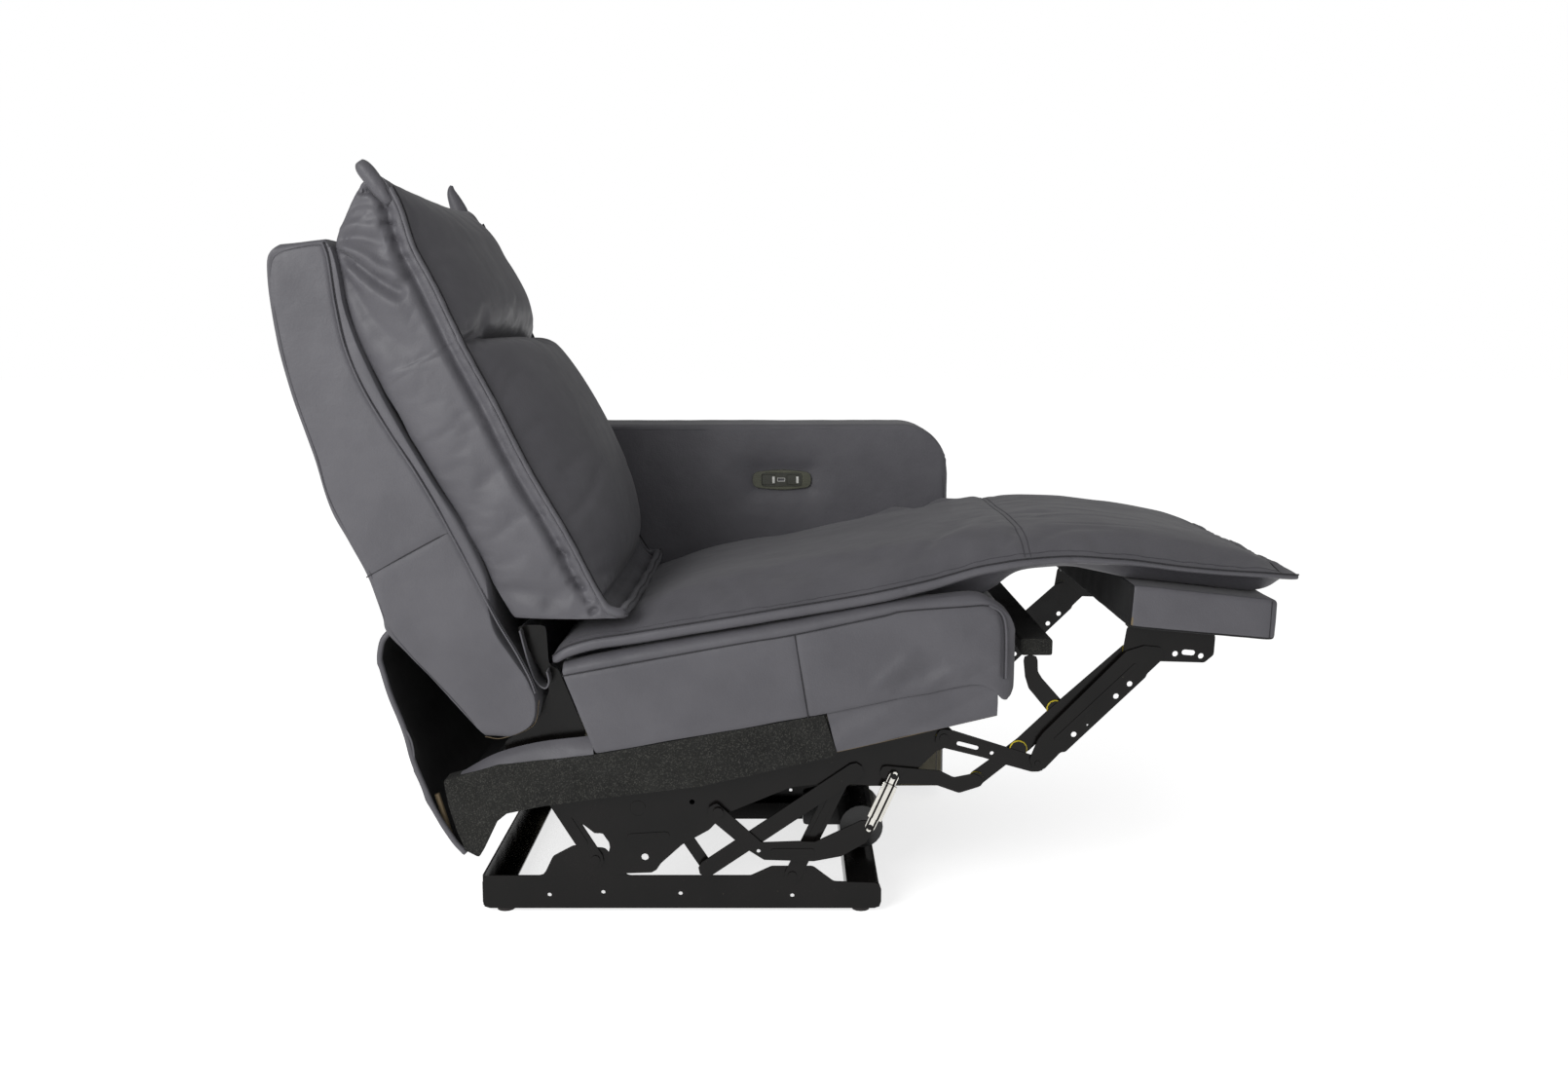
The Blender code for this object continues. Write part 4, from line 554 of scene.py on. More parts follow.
def smooth_line(points: Sequence[Sequence[float]], count: int) -> list[tuple[float, ...]]:
    """Run a smooth line through points and divide it evenly.

    Args:
        points: the points to pass through.
        count: how many points to return.

    Returns:
        The divided line.
    """
    rows = np.array(points, float)
    first, last = 2 * rows[0] - rows[1], 2 * rows[-1] - rows[-2]
    padded = np.vstack([first, rows, last])
    fine: list[np.ndarray] = []
    for n in range(1, len(padded) - 2):
        p0, p1, p2, p3 = padded[n - 1 : n + 3]
        for step in range(FINE_STEPS):
            t = step / FINE_STEPS
            bow = (2 * p0 - 5 * p1 + 4 * p2 - p3) * t**2
            fine.append(0.5 * (2 * p1 + (p2 - p0) * t + bow + (3 * p1 - p0 - 3 * p2 + p3) * t**3))
    fine.append(rows[-1])
    dense = np.array(fine)
    length = np.concatenate([[0], np.cumsum(np.linalg.norm(np.diff(dense, axis=0), axis=1))])
    wanted = np.linspace(0, length[-1], count)
    return [tuple(np.interp(w, length, dense[:, k]) for k in range(dense.shape[1])) for w in wanted]


def paint(piece: Object, finish: Finish) -> None:
    """Give a piece one finish and make it active.

    Args:
        piece: the piece.
        finish: its finish.
    """
    piece.data.materials.clear()
    piece.data.materials.append(finish.material())
    activate(piece)


def dress(piece: Object, finish: Finish, body: str) -> None:
    """Paint a piece and let it ride on its body.

    Args:
        piece: the piece.
        finish: its finish.
        body: the CAD body that carries it.
    """
    paint(piece, finish)
    bpy.ops.object.shade_smooth_by_angle(angle=SMOOTH_ANGLE)
    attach(piece, body)
    LOG.info("%s rides on %s", piece.name, body)


class Panel(Enum):
    """The four panels round a sewn block, in their order round its loop."""

    BACK = 0
    NEAR = 1
    FACE = 2
    FAR = 3

    @property
    def broad(self) -> bool:
        """Tell whether the panel runs across the chair."""
        return self in (Panel.BACK, Panel.FACE)

    @property
    def side(self) -> int:
        """Return -1 for the near panel and 1 for the far one."""
        return -1 if self is Panel.NEAR else 1

    def across(self, s: float) -> float:
        """Return a broad panel's place from -1 at the near side to 1 at the far side."""
        return 1 - 2 * s if self is Panel.BACK else 2 * s - 1

    def up(self, s: float) -> float:
        """Return a side panel's share of the way from the back panel to the face."""
        return s if self is Panel.NEAR else 1 - s


@dataclass
class SewnBlock:
    """A closed cover sewn from four long panels and two ends.

    Each station of the block is a loop: the back panel from the far side to the near side, the
    near panel, the face panel back to the far side, and the far panel.
    """

    name: str
    across: int
    deep: int
    loops: list[list[Vector]] = field(default_factory=list)

    def corner(self, panel: Panel) -> int:
        """Return the place in a loop at which a panel starts."""
        return (0, self.across, self.across + self.deep, 2 * self.across + self.deep)[panel.value]

    def seam(self, panel: Panel) -> list[Vector]:
        """Return the line along which a panel starts."""
        n = self.corner(panel)
        return [loop[n].copy() for loop in self.loops]

    def sew(self, rows: Iterable[Sequence[float]], place: Callable[[Panel, float, Sequence[float]], Vector]) -> Object:
        """Join one loop for each row and close both ends with woven grids.

        Args:
            rows: the numbers of each station.
            place: gives a point from a panel, the share of the way along it and the row.

        Returns:
            The closed mesh, all of quads.
        """
        for row in rows:
            loop: list[Vector] = []
            for panel in Panel:
                cells = self.across if panel.broad else self.deep
                loop += [place(panel, n / cells, row) for n in range(cells)]
            self.loops.append(loop)
        points = [p for loop in self.loops for p in loop]
        size = len(self.loops[0])
        faces = [
            (r * size + n, r * size + (n + 1) % size, (r + 1) * size + (n + 1) % size, (r + 1) * size + n)
            for r in range(len(self.loops) - 1)
            for n in range(size)
        ]
        for end in (0, len(self.loops) - 1):
            faces += self.close_end(points, end * size)
        return from_points(self.name, points, faces)

    def end_points(self) -> list[int]:
        """Return the numbers of the two end grids' own points."""
        total = sum(map(len, self.loops))
        return list(range(total, total + 2 * (self.across - 1) * (self.deep - 1)))

    def close_end(self, points: list[Vector], start: int) -> list[tuple[int, ...]]:
        """Weave a grid over one end.

        Args:
            points: the block's points, to which the grid's own are added.
            start: the number of the end loop's first point.

        Returns:
            The grid's faces.
        """
        a, d = self.across, self.deep
        grid: dict[tuple[int, int], int] = {}
        for n in range(a + 1):
            grid[n, 0] = start + n
            grid[n, d] = start + a + d + (a - n)
        for m in range(1, d):
            grid[a, m] = start + a + m
            grid[0, m] = start + 2 * a + d + (d - m)
        corners = [points[grid[i, j]] for i, j in ((0, 0), (a, 0), (0, d), (a, d))]
        for n in range(1, a):
            for m in range(1, d):
                u, v = n / a, m / d
                edge = points[grid[n, 0]] * (1 - v) + points[grid[n, d]] * v
                edge += points[grid[0, m]] * (1 - u) + points[grid[a, m]] * u
                flat = (corners[0] * (1 - u) + corners[1] * u) * (1 - v)
                flat += (corners[2] * (1 - u) + corners[3] * u) * v
                grid[n, m] = len(points)
                points.append(edge - flat)
        return [
            (grid[n, m], grid[n + 1, m], grid[n + 1, m + 1], grid[n, m + 1]) for n in range(a) for m in range(d)
        ]


def inflate(piece: Object, held: Iterable[int], pressure: float, slack: float, cap: float, frames: int = 20) -> None:
    """Blow a cover up as cloth that is held along its seams.

    Args:
        piece: the closed cover.
        held: numbers of the vertices that stay in place.
        pressure: pressure inside.
        slack: share by which the cloth is larger than the drawn shape.
        cap: the furthest that a point may move.
        frames: steps of the simulation.
    """
    group = piece.vertex_groups.new(name="held")
    group.add(list(held), 1.0, "REPLACE")
    rest = np.array([v.co for v in piece.data.vertices])
    cloth = piece.modifiers.new("cloth", "CLOTH")
    own = {"uniform_pressure_force": pressure, "shrink_min": -slack, "vertex_group_mass": group.name}
    for key, value in (CLOTH | own).items():
        setattr(cloth.settings, key, value)
    cloth.settings.effector_weights.gravity = 0.0
    cloth.collision_settings.use_collision = False
    cloth.point_cache.frame_start = 1
    cloth.point_cache.frame_end = frames
    scene = bpy.context.scene
    for number in range(1, frames + 1):
        scene.frame_set(number)
    graph = bpy.context.evaluated_depsgraph_get()
    move = np.array([v.co for v in piece.evaluated_get(graph).data.vertices]) - rest
    length = np.linalg.norm(move, axis=1, keepdims=True)
    move *= np.minimum(1.0, cap / np.maximum(length, 1e-9))
    piece.modifiers.remove(cloth)
    piece.vertex_groups.remove(group)
    piece.data.vertices.foreach_set("co", (rest + move).ravel())
    piece.data.update()
    scene.frame_set(1)


def push(piece: Object, amount: Callable[[Vector, Vector], float]) -> None:
    """Move each vertex along its normal.

    Args:
        piece: the object.
        amount: gives the distance from the vertex's place and normal.
    """
    moved = [v.co + v.normal * amount(v.co, v.normal) for v in piece.data.vertices]
    piece.data.vertices.foreach_set("co", [c for p in moved for c in p])
    piece.data.update()


def ripple(place: Vector, sizes: tuple[float, float, float], seed: float = 0.0) -> float:
    """Return smooth noise from -1 to 1 with features of the given sizes along X, Y and Z."""
    return noise.noise(Vector((place.x / sizes[0] + seed, place.y / sizes[1] - seed, place.z / sizes[2] + seed)))


class Facing(Enum):
    """The way that a panel faces, as an axis and a sign."""

    NEAR = (1, -1)
    FAR = (1, 1)
    ABOVE = (2, 1)
    FRONT = (0, 1)

    def seen(self, places: np.ndarray) -> np.ndarray:
        """Return places as this view shows them, from the side datum.

        Args:
            places: rows of X, Y and Z.

        Returns:
            Rows of the two coordinates that the view shows.
        """
        kept = [k for k in range(3) if k != self.value[0]]
        return places[:, kept] - np.array([DATUM_X if k == 0 else 0.0 for k in kept])


@dataclass(frozen=True)
class Fold:
    """A ridge or groove that is worked into a cover along a line.

    The line is drawn in the view of the panel. Its height is negative for a groove, its width is
    the half-width at its start and end, and it dies out over the fade share at both ends.
    """

    line: Sequence[Pair]
    height: float
    width: float
    end_width: float = 0.0
    fade: float = 0.15

    def lift(self, places: np.ndarray) -> np.ndarray:
        """Return the height of the fold at each place of the view.

        Args:
            places: rows of two coordinates.

        Returns:
            One height for each place.
        """
        last = self.end_width or self.width
        line = np.array(smooth_line(self.line, 40))
        margin = 3 * max(self.width, last)
        close = ((places > line.min(0) - margin) & (places < line.max(0) + margin)).all(1)
        lifts = np.zeros(len(places))
        if not close.any():
            return lifts
        start, way = line[:-1], np.diff(line, axis=0)
        rel = places[close][:, None, :] - start[None]
        along = np.clip((rel * way).sum(-1) / np.maximum((way**2).sum(-1), 1e-12), 0, 1)
        gap = np.linalg.norm(rel - along[..., None] * way, axis=-1)
        nearest = gap.argmin(1)
        rows = np.arange(len(nearest))
        share = (nearest + along[rows, nearest]) / len(start)
        width = self.width + (last - self.width) * share
        ends = np.clip(np.minimum(share, 1 - share) / max(self.fade, 1e-6), 0, 1) ** 0.7
        lifts[close] = self.height * np.exp(-((gap[rows, nearest] / width) ** 2)) * ends
        return lifts


def work(piece: Object, facing: Facing, folds: Iterable[Fold], within: float = 0.35) -> None:
    """Work folds into the panel of a cover that faces one way.

    Args:
        piece: the cover.
        facing: the way that the panel faces.
        folds: the folds.
        within: how far the faces may turn away from that way, as the least share of the normal.
    """
    mesh = piece.data
    places = np.array([v.co for v in mesh.vertices])
    normals = np.array([v.normal for v in mesh.vertices])
    axis, sign = facing.value
    chosen = np.nonzero(normals[:, axis] * sign > within)[0]
    seen = facing.seen(places[chosen])
    lifts = np.zeros(len(chosen))
    for fold in folds:
        lifts += fold.lift(seen)
    places[chosen] += normals[chosen] * lifts[:, None]
    mesh.vertices.foreach_set("co", places.ravel())
    mesh.update()


# Upholstery

SHELL_LEVELS = [
    # rear x, rear z, front x, front z
    (-0.4193, 0.2725, -0.3850, 0.2712),
    (-0.4422, 0.2976, -0.3525, 0.2880),
    (-0.4650, 0.3230, -0.3440, 0.3190),
    (-0.4950, 0.3570, -0.3530, 0.3520),
    (-0.5230, 0.3880, -0.3740, 0.3840),
    (-0.5522, 0.4208, -0.4007, 0.4290),
    (-0.5580, 0.4454, -0.4080, 0.4900),
    (-0.5762, 0.5000, -0.4235, 0.5326),
    (-0.6010, 0.5490, -0.4420, 0.5700),
    (-0.6260, 0.5973, -0.4640, 0.6060),
    (-0.6456, 0.6694, -0.5020, 0.6700),
    (-0.6678, 0.7396, -0.5365, 0.7330),
    (-0.6824, 0.7961, -0.5655, 0.7960),
    (-0.6890, 0.8340, -0.5795, 0.8320),
    (-0.6935, 0.8715, -0.5910, 0.8715),
    (-0.6960, 0.9050, -0.5960, 0.9080),
    (-0.6955, 0.9300, -0.6015, 0.9360),
    (-0.6900, 0.9420, -0.6070, 0.9500),
    (-0.6780, 0.9510, -0.6160, 0.9585),
]


def sewn_lines(
    body: str, lines: dict[str, Sequence[Pair]], sides: Iterable[tuple[str, float]], radius: float, finish: Finish
) -> None:
    """Lay thin seam or piping lines along side panels.

    Args:
        body: the CAD body that carries them.
        lines: each line's name and its side-view points.
        sides: each side's word and its Y.
        radius: the radius of the line.
        finish: the finish of the line.
    """
    for word, y in sides:
        for name, line in lines.items():
            path = [at(x, y, z) for x, z in smooth_line(line, 90)]
            dress(tube(f"{name}_{word}", path, radius), finish, body)


def side_faces(inset: float) -> list[tuple[str, float]]:
    """Return each side's word and the Y that lies inset inside the seat's face."""
    return [("near", SEAT_RIGHT_Y + inset), ("far", SEAT_LEFT_Y - inset)]


@dataclass
class BackShell:
    """The upholstered outer back: boxed sides between two seams, and a raised band at the front."""

    body: str = "back"
    roll: float = 0.0048
    rear_roll: float = 0.004
    roll_depth: float = 0.6
    rear_crown: float = 0.004
    end_pull: float = 0.006
    across: int = 56
    deep: int = 30
    stations: int = 110
    piping: Sequence[Pair] = (
        (-0.6190, 0.9530), (-0.6123, 0.9322), (-0.6055, 0.8741), (-0.5945, 0.8163), (-0.5719, 0.7580),
        (-0.5383, 0.6986), (-0.5043, 0.6441), (-0.4700, 0.5830), (-0.4247, 0.4930), (-0.3978, 0.4372),
        (-0.3719, 0.3920), (-0.3540, 0.3560), (-0.3470, 0.3350),
    )
    rear_seam: Sequence[Pair] = (
        (-0.4300, 0.2880), (-0.4600, 0.3240), (-0.5450, 0.4240), (-0.5700, 0.5030), (-0.6200, 0.6000),
        (-0.6390, 0.6700), (-0.6610, 0.7400), (-0.6755, 0.7970), (-0.6870, 0.8700), (-0.6890, 0.9180),
        (-0.6800, 0.9370), (-0.6520, 0.9460), (-0.6200, 0.9500), (-0.6070, 0.9460),
    )
    cross_seam: Sequence[Pair] = ((-0.5763, 0.4987), (-0.5240, 0.5280), (-0.4724, 0.5556), (-0.4620, 0.5600))
    raw_edge: Sequence[Pair] = ((-0.4193, 0.2716), (-0.3941, 0.2697), (-0.3515, 0.2880), (-0.3425, 0.3240))

    def build(self) -> None:
        """Sew and dress the shell and its seams."""
        block = SewnBlock("back_shell_cover", self.across, self.deep)
        levels = enumerate(smooth_line(SHELL_LEVELS, self.stations))
        shell = block.sew([(*level, self.pull(n / (self.stations - 1))) for n, level in levels], self.point)
        subdivide(shell)
        push(shell, self.unevenness)
        band = [(x + 0.010, z + 0.004) for x, z in self.piping[3:-3]]
        folds = [
            Fold(self.piping, -0.0022, 0.0035, fade=0.02),
            Fold(band, 0.0016, 0.008),
            Fold(self.rear_seam, -0.0009, 0.0035, fade=0.02),
            Fold(self.cross_seam, -0.0012, 0.0045, fade=0.1),
        ]
        for facing in (Facing.NEAR, Facing.FAR):
            work(shell, facing, folds)
        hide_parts("back_shell")
        dress(shell, LEATHER, self.body)
        sides = side_faces(0.0004)
        sunk = [(word, y * 0.9985) for word, y in sides]
        shadow = [(x + 0.0026, z + 0.001) for x, z in self.piping]
        sewn_lines(self.body, {"shell_piping": self.piping}, sides, 0.0015, LEATHER)
        sewn_lines(self.body, {"shell_rear_seam": self.rear_seam}, sunk, 0.0008, THREAD)
        # Dark tubes of painted shade: the piping's shadow and the cross seam's valley.
        dark = {"shell_piping_shadow": shadow, "shell_cross_seam": self.cross_seam}
        sewn_lines(self.body, dark, sunk, 0.0009, SEAM_SHADE_LEATHER)
        raw = {"shell_raw_edge": self.raw_edge}
        sewn_lines(self.body, raw, [(word, y * 0.985) for word, y in sides], 0.0005, RAW_EDGE)

    def pull(self, share: float) -> float:
        """Return how far the sides draw in at a share of the height."""
        return self.end_pull * (1 - min(1.0, share / 0.02, (1 - share) / 0.02)) ** 2

    def point(self, panel: Panel, s: float, row: Sequence[float]) -> Vector:
        """Place one point of a section.

        Args:
            panel: the panel that it is on.
            s: the share of the way along the panel.
            row: rear point, front point and pull-in of the station.

        Returns:
            The point.
        """
        rear, front, half = Vector(row[0:2]), Vector(row[2:4]), HALF_SEAT - row[4]
        depth = (front - rear).length
        if panel.broad:
            y = half * panel.across(s)
            radius = self.rear_roll if panel is Panel.BACK else self.roll
            drop = radius * fall(max(0.0, abs(y) - (half - radius)) / radius) * self.roll_depth
            u = drop - self.rear_crown * (1 - (y / half) ** 4) if panel is Panel.BACK else depth - drop
        else:
            t = panel.up(s)
            u = depth * t
            tuck = self.roll * fall(max(0.0, 1 - (depth - u) / self.roll))
            y = panel.side * (half - tuck * 0.5)
            end = depth - self.roll * self.roll_depth * (1 if t > 0.999 else 0)
            u = min(max(u, self.rear_roll * self.roll_depth), end)
        side = rear + (front - rear).normalized() * u
        return at(side.x, SEAT_MID_Y + y, side.y)

    @staticmethod
    def unevenness(place: Vector, normal: Vector) -> float:
        """Return how far the stretched leather stands off its board."""
        slow = 0.0016 * ripple(place, (0.09, 0.14, 0.16), 3.1)
        return slow + 0.0006 * ripple(place, (0.035, 0.06, 0.05), 7.7)


CUSHION_LEVELS = [
    # rear x, rear z, welt x, welt z, crown
    (-0.3740, 0.4405, -0.2290, 0.4395, 0.000),
    (-0.3810, 0.4490, -0.2440, 0.4520, -0.010),
    (-0.4030, 0.4880, -0.2600, 0.4780, 0.006),
    (-0.4150, 0.5180, -0.2770, 0.5110, 0.034),
    (-0.4300, 0.5460, -0.2950, 0.5480, 0.052),
    (-0.4480, 0.5820, -0.3220, 0.5960, 0.068),
    (-0.4780, 0.6320, -0.3540, 0.6530, 0.077),
    (-0.5060, 0.6820, -0.3929, 0.7330, 0.069),
    (-0.5280, 0.7250, -0.4215, 0.7880, 0.058),
    (-0.5425, 0.7490, -0.4320, 0.8080, 0.047),
    (-0.5468, 0.7580, -0.4362, 0.8160, 0.034),
    (-0.5500, 0.7650, -0.4388, 0.8215, 0.014),
    (-0.5535, 0.7720, -0.4415, 0.8280, 0.032),
    (-0.5690, 0.8060, -0.4570, 0.8620, 0.043),
    (-0.5800, 0.8350, -0.4675, 0.8858, 0.045),
    (-0.5920, 0.8780, -0.4850, 0.9200, 0.044),
    (-0.5985, 0.9150, -0.4995, 0.9488, 0.041),
    (-0.6030, 0.9530, -0.5123, 0.9936, 0.031),
    (-0.5890, 0.9880, -0.5230, 1.0180, 0.021),
    (-0.5765, 1.0120, -0.5342, 1.0368, 0.012),
    (-0.5640, 1.0310, -0.5450, 1.0450, 0.003),
]
CUSHION_PUCKERS = (
    # height of the pucker on the welt, depth: five at the headrest, then eight at the foot
    *((0.934, -0.0030), (0.951, -0.0058), (0.964, -0.0036), (0.979, -0.0070), (0.994, -0.0046)),
    *((0.456, -0.0060), (0.466, -0.0030), (0.481, -0.0066), (0.497, -0.0040), (0.511, -0.0022)),
    *((0.528, -0.0046), (0.553, -0.0020), (0.586, -0.0030)),
)
CUSHION_FOLDS = [
    Fold([(-0.5995, 0.9420), (-0.5660, 0.9180), (-0.5400, 0.9000), (-0.5060, 0.8830)], -0.0066, 0.0040, 0.0105, 0.12),
    Fold([(-0.5965, 0.9300), (-0.5660, 0.8990), (-0.5360, 0.8770), (-0.5000, 0.8600)], 0.0052, 0.0050, 0.0150, 0.15),
    Fold([(-0.5930, 0.9150), (-0.5660, 0.8650), (-0.5350, 0.8300), (-0.4960, 0.8050)], -0.0040, 0.0060, 0.0170, 0.2),
    Fold([(-0.5900, 0.9000), (-0.5660, 0.8300), (-0.5300, 0.7850), (-0.4850, 0.7600)], 0.0024, 0.0080, 0.0200, 0.25),
    Fold([(-0.6000, 0.9560), (-0.5750, 0.9600), (-0.5480, 0.9560), (-0.5300, 0.9480)], -0.0048, 0.0040, 0.0100, 0.15),
    Fold([(-0.5980, 0.9680), (-0.5780, 0.9750), (-0.5560, 0.9740), (-0.5400, 0.9690)], 0.0040, 0.0040, 0.0090, 0.2),
    Fold([(-0.5860, 0.9950), (-0.5700, 1.0030), (-0.5540, 1.0040), (-0.5400, 0.9990)], -0.0030, 0.0045, 0.0070, 0.3),
    Fold([(-0.5700, 1.0180), (-0.5560, 1.0215), (-0.5440, 1.0200), (-0.5360, 1.0140)], -0.0085, 0.0040, 0.0060, 0.2),
    Fold([(-0.4600, 0.5500), (-0.4300, 0.5600), (-0.3900, 0.6000), (-0.3700, 0.6350)], 0.0030, 0.0120, 0.0180, 0.3),
    Fold([(-0.4000, 0.4700), (-0.3700, 0.4780), (-0.3300, 0.4720), (-0.2950, 0.4620)], -0.0060, 0.0120, 0.0140, 0.3),
    Fold([(-0.5200, 0.6900), (-0.4800, 0.7050), (-0.4400, 0.7350)], 0.0026, 0.0150, 0.0200, 0.3),
]
CUSHION_FACE_FOLDS = [
    Fold([(0.198, 0.560), (0.180, 0.540), (0.150, 0.530)], -0.0070, 0.0060, 0.0130, 0.2),
    Fold([(0.200, 0.535), (0.180, 0.515), (0.155, 0.500)], 0.0060, 0.0060, 0.0120, 0.2),
    Fold([(0.200, 0.520), (0.182, 0.492), (0.160, 0.475)], -0.0060, 0.0060, 0.0110, 0.2),
    Fold([(-0.372, 0.826), (-0.330, 0.838), (-0.270, 0.826)], 0.0020, 0.0040, 0.0060, 0.3),
]


@dataclass
class BackCushion:
    """The back cushion: a headrest over a lumbar roll, boxed sides and a rolled edge with ears."""

    body: str = "back"
    across: int = 60
    deep: int = 30
    stations: int = 124
    crease_z: float = 0.8215
    head_z: float = 0.97
    corner: Pair = (-0.6010, 0.9500)
    near_ear: Sequence[tuple[float, float, float]] = (
        # x, z, radius
        (-0.5260, 1.0040, 0.0070),
        (-0.5350, 1.0150, 0.0112),
        (-0.5450, 1.0290, 0.0128),
        (-0.5550, 1.0430, 0.0130),
        (-0.5630, 1.0530, 0.0116),
        (-0.5675, 1.0590, 0.0070),
    )
    far_ear: Sequence[tuple[float, float, float]] = (
        (-0.5560, 1.0350, 0.0150),
        (-0.5620, 1.0480, 0.0150),
        (-0.5680, 1.0610, 0.0125),
        (-0.5720, 1.0730, 0.0098),
        (-0.5745, 1.0820, 0.0066),
        (-0.5725, 1.0880, 0.0030),
    )

    def build(self) -> None:
        """Sew, blow up and dress the cushion, its rolled edge and its ears."""
        block = SewnBlock("back_cushion_cover", self.across, self.deep)
        rows = np.array(smooth_line(CUSHION_LEVELS, self.stations))
        cover = block.sew(rows, self.point)
        inflate(cover, self.held(block, int(abs(rows[:, 3] - self.crease_z).argmin())), 2.4, slack=0.008, cap=0.007)
        subdivide(cover)
        self.work_folds(cover, rows)
        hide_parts("back_cushion")
        dress(cover, LEATHER, self.body)
        self.edge(block)
        for (word, side), ear in zip(SIDES, (self.near_ear, self.far_ear)):
            self.horn(f"cushion_ear_{word}", side, ear)

    def point(self, panel: Panel, s: float, row: Sequence[float]) -> Vector:
        """Place one point of a section.

        Args:
            panel: the panel that it is on.
            s: the share of the way along the panel.
            row: the level's rear point, welt point and crown.

        Returns:
            The point.
        """
        rear, welt, crown = Vector(row[0:2]), Vector(row[2:4]), row[4]
        out = (welt - rear).normalized()
        half = HALF_SEAT - 0.005
        if panel.broad:
            across = panel.across(s)
            y = half * (math.sin(math.pi / 2 * across) * 0.35 + across * 0.65)
            share = abs(y / half)
            swell = 1 - share**3
            if panel is Panel.BACK:
                side = rear + Vector((0, -0.010)) * swell if rear.y > self.head_z else rear
                return at(side.x, SEAT_MID_Y + y, side.y)
            side = welt + out * crown * swell
            if welt.y > self.head_z:
                side = side + Vector((0, -0.012)) * swell * min(1.0, (welt.y - self.head_z) / 0.05)
            dip = math.exp(-(((welt.y - self.crease_at(y + HALF_SEAT)) / 0.0050) ** 2))
            side = side - out * 0.012 * dip * min(1.0, (1 - share) / 0.04)
            return at(side.x, SEAT_MID_Y + y, side.y)
        t = 1 - (1 - panel.up(s)) ** 1.35
        side = rear.lerp(welt, t)
        bulge = 0.007 * math.sin(math.pi * min(1.0, t / 0.88)) ** 0.8 if t < 0.88 else 0.0
        swing = (bulge - 0.006 * (1 - t) ** 3) * min(1.0, (welt - rear).length / 0.09)
        if panel is Panel.FAR:
            swing = min(swing * 0.7, 0.006)
        return at(side.x, SEAT_MID_Y + (half + swing) * panel.side, side.y)

    def crease_at(self, inset: float) -> float:
        """Return the height of the crease on the welt line, by the distance from the near side."""
        return self.crease_z + 0.007 * math.exp(-(((inset - 0.085) / 0.05) ** 2)) - 0.003 * inset

    def held(self, block: SewnBlock, crease: int) -> list[int]:
        """List the vertices that seams and the shell keep in place.

        Args:
            block: the sewn cover.
            crease: the station of the crease between headrest and roll.

        Returns:
            Vertex numbers.
        """
        size, last = len(block.loops[0]), len(block.loops) - 1
        near, face, far = (block.corner(p) for p in (Panel.NEAR, Panel.FACE, Panel.FAR))
        pins = block.end_points()
        for number in range(last + 1):
            kept = {*range(near + 1), face, far}
            if abs(number - crease) < 2 or number in (0, 1, last):
                kept.update(range(face, far + 1))
            if number == 0:
                kept.update(range(size))
            pins += [number * size + n for n in kept]
        return pins

    def work_folds(self, cover: Object, rows: np.ndarray) -> None:
        """Work the drag folds, the drawn-in groove and the puckers into the cover.

        Args:
            cover: the cushion.
            rows: its levels.
        """
        welt = [(float(r[2]), float(r[3])) for r in rows[::6]]
        folds = [
            Fold([(x - 0.0165, z - 0.003) for x, z in welt[1:]], -0.0075, 0.0075, fade=0.05),
            Fold([(x - 0.033, z - 0.005) for x, z in welt[2:]], 0.0030, 0.010, fade=0.1),
            Fold([self.corner, (-0.5639, 0.9360), (-0.5400, 0.9180), (-0.5080, 0.9010)], 0.0070, 0.0050, 0.0125, 0.12),
            *CUSHION_FOLDS,
        ]
        for n, (z, height) in enumerate(CUSHION_PUCKERS):
            x = float(np.interp(z, rows[:, 3], rows[:, 2])) - 0.010
            lean, reach = 0.005 * math.sin(n * 2.1), 0.014 + 0.008 * math.sin(n * 3.7) ** 2
            line = [(x, z), (x - 0.5 * reach, z + lean), (x - reach, z + 1.6 * lean)]
            folds.append(Fold(line, height, 0.0034, 0.0046, 0.3))
        work(cover, Facing.NEAR, folds, within=0.25)
        work(cover, Facing.FAR, [replace(f, height=f.height * 0.7) for f in folds], within=0.25)
        (_, near), (_, far) = side_faces(0.012)
        bottom = [Fold([(near, 0.462), (SEAT_MID_Y, 0.460), (far, 0.468)], -0.0100, 0.0080, fade=0.03)]
        for n in range(13):
            y = near + 0.03 + (far - near - 0.06) * n / 12
            bottom.append(Fold([(y, 0.462), (y + 0.006 * math.sin(n), 0.490)], -0.0014, 0.0045, 0.009, 0.3))
        work(cover, Facing.FRONT, bottom)
        work(cover, Facing.FRONT, CUSHION_FACE_FOLDS)

    def edge(self, block: SewnBlock) -> None:
        """Roll the sewn edge down both sides and along the bottom, with a dark tube of painted shade in its stitched
        groove.

        Args:
            block: the sewn cover.
        """
        near = [p + Vector((0.0005, -0.0016, 0.0)) for p in block.seam(Panel.FACE)][::-1]
        far = [p + Vector((0.0005, 0.0016, 0.0)) for p in block.seam(Panel.FAR)]
        y0, y1 = near[-1].y, far[0].y
        foot = []
        for n in range(31):
            x = -0.2235 + 0.0035 * math.sin(math.pi * n / 30)
            foot.append(at(x, y0 + (y1 - y0) * n / 30, 0.4465 + 0.002 * math.sin(n * 0.9)))
        down, rise = near[6:-2:2], far[2:-6:2]
        path = down + foot + rise

        def beside(x: float, y: float, z: float, foot_x: float, foot_z: float) -> list[Vector]:
            """Return the path moved by x, y and z at the sides and by foot_x and foot_z at the foot."""
            moves = [Vector((x, y, z))] * len(down) + [Vector((foot_x, 0.0, foot_z))] * len(foot)
            return [p + m for p, m in zip(path, moves + [Vector((x, -y, z))] * len(rise))]

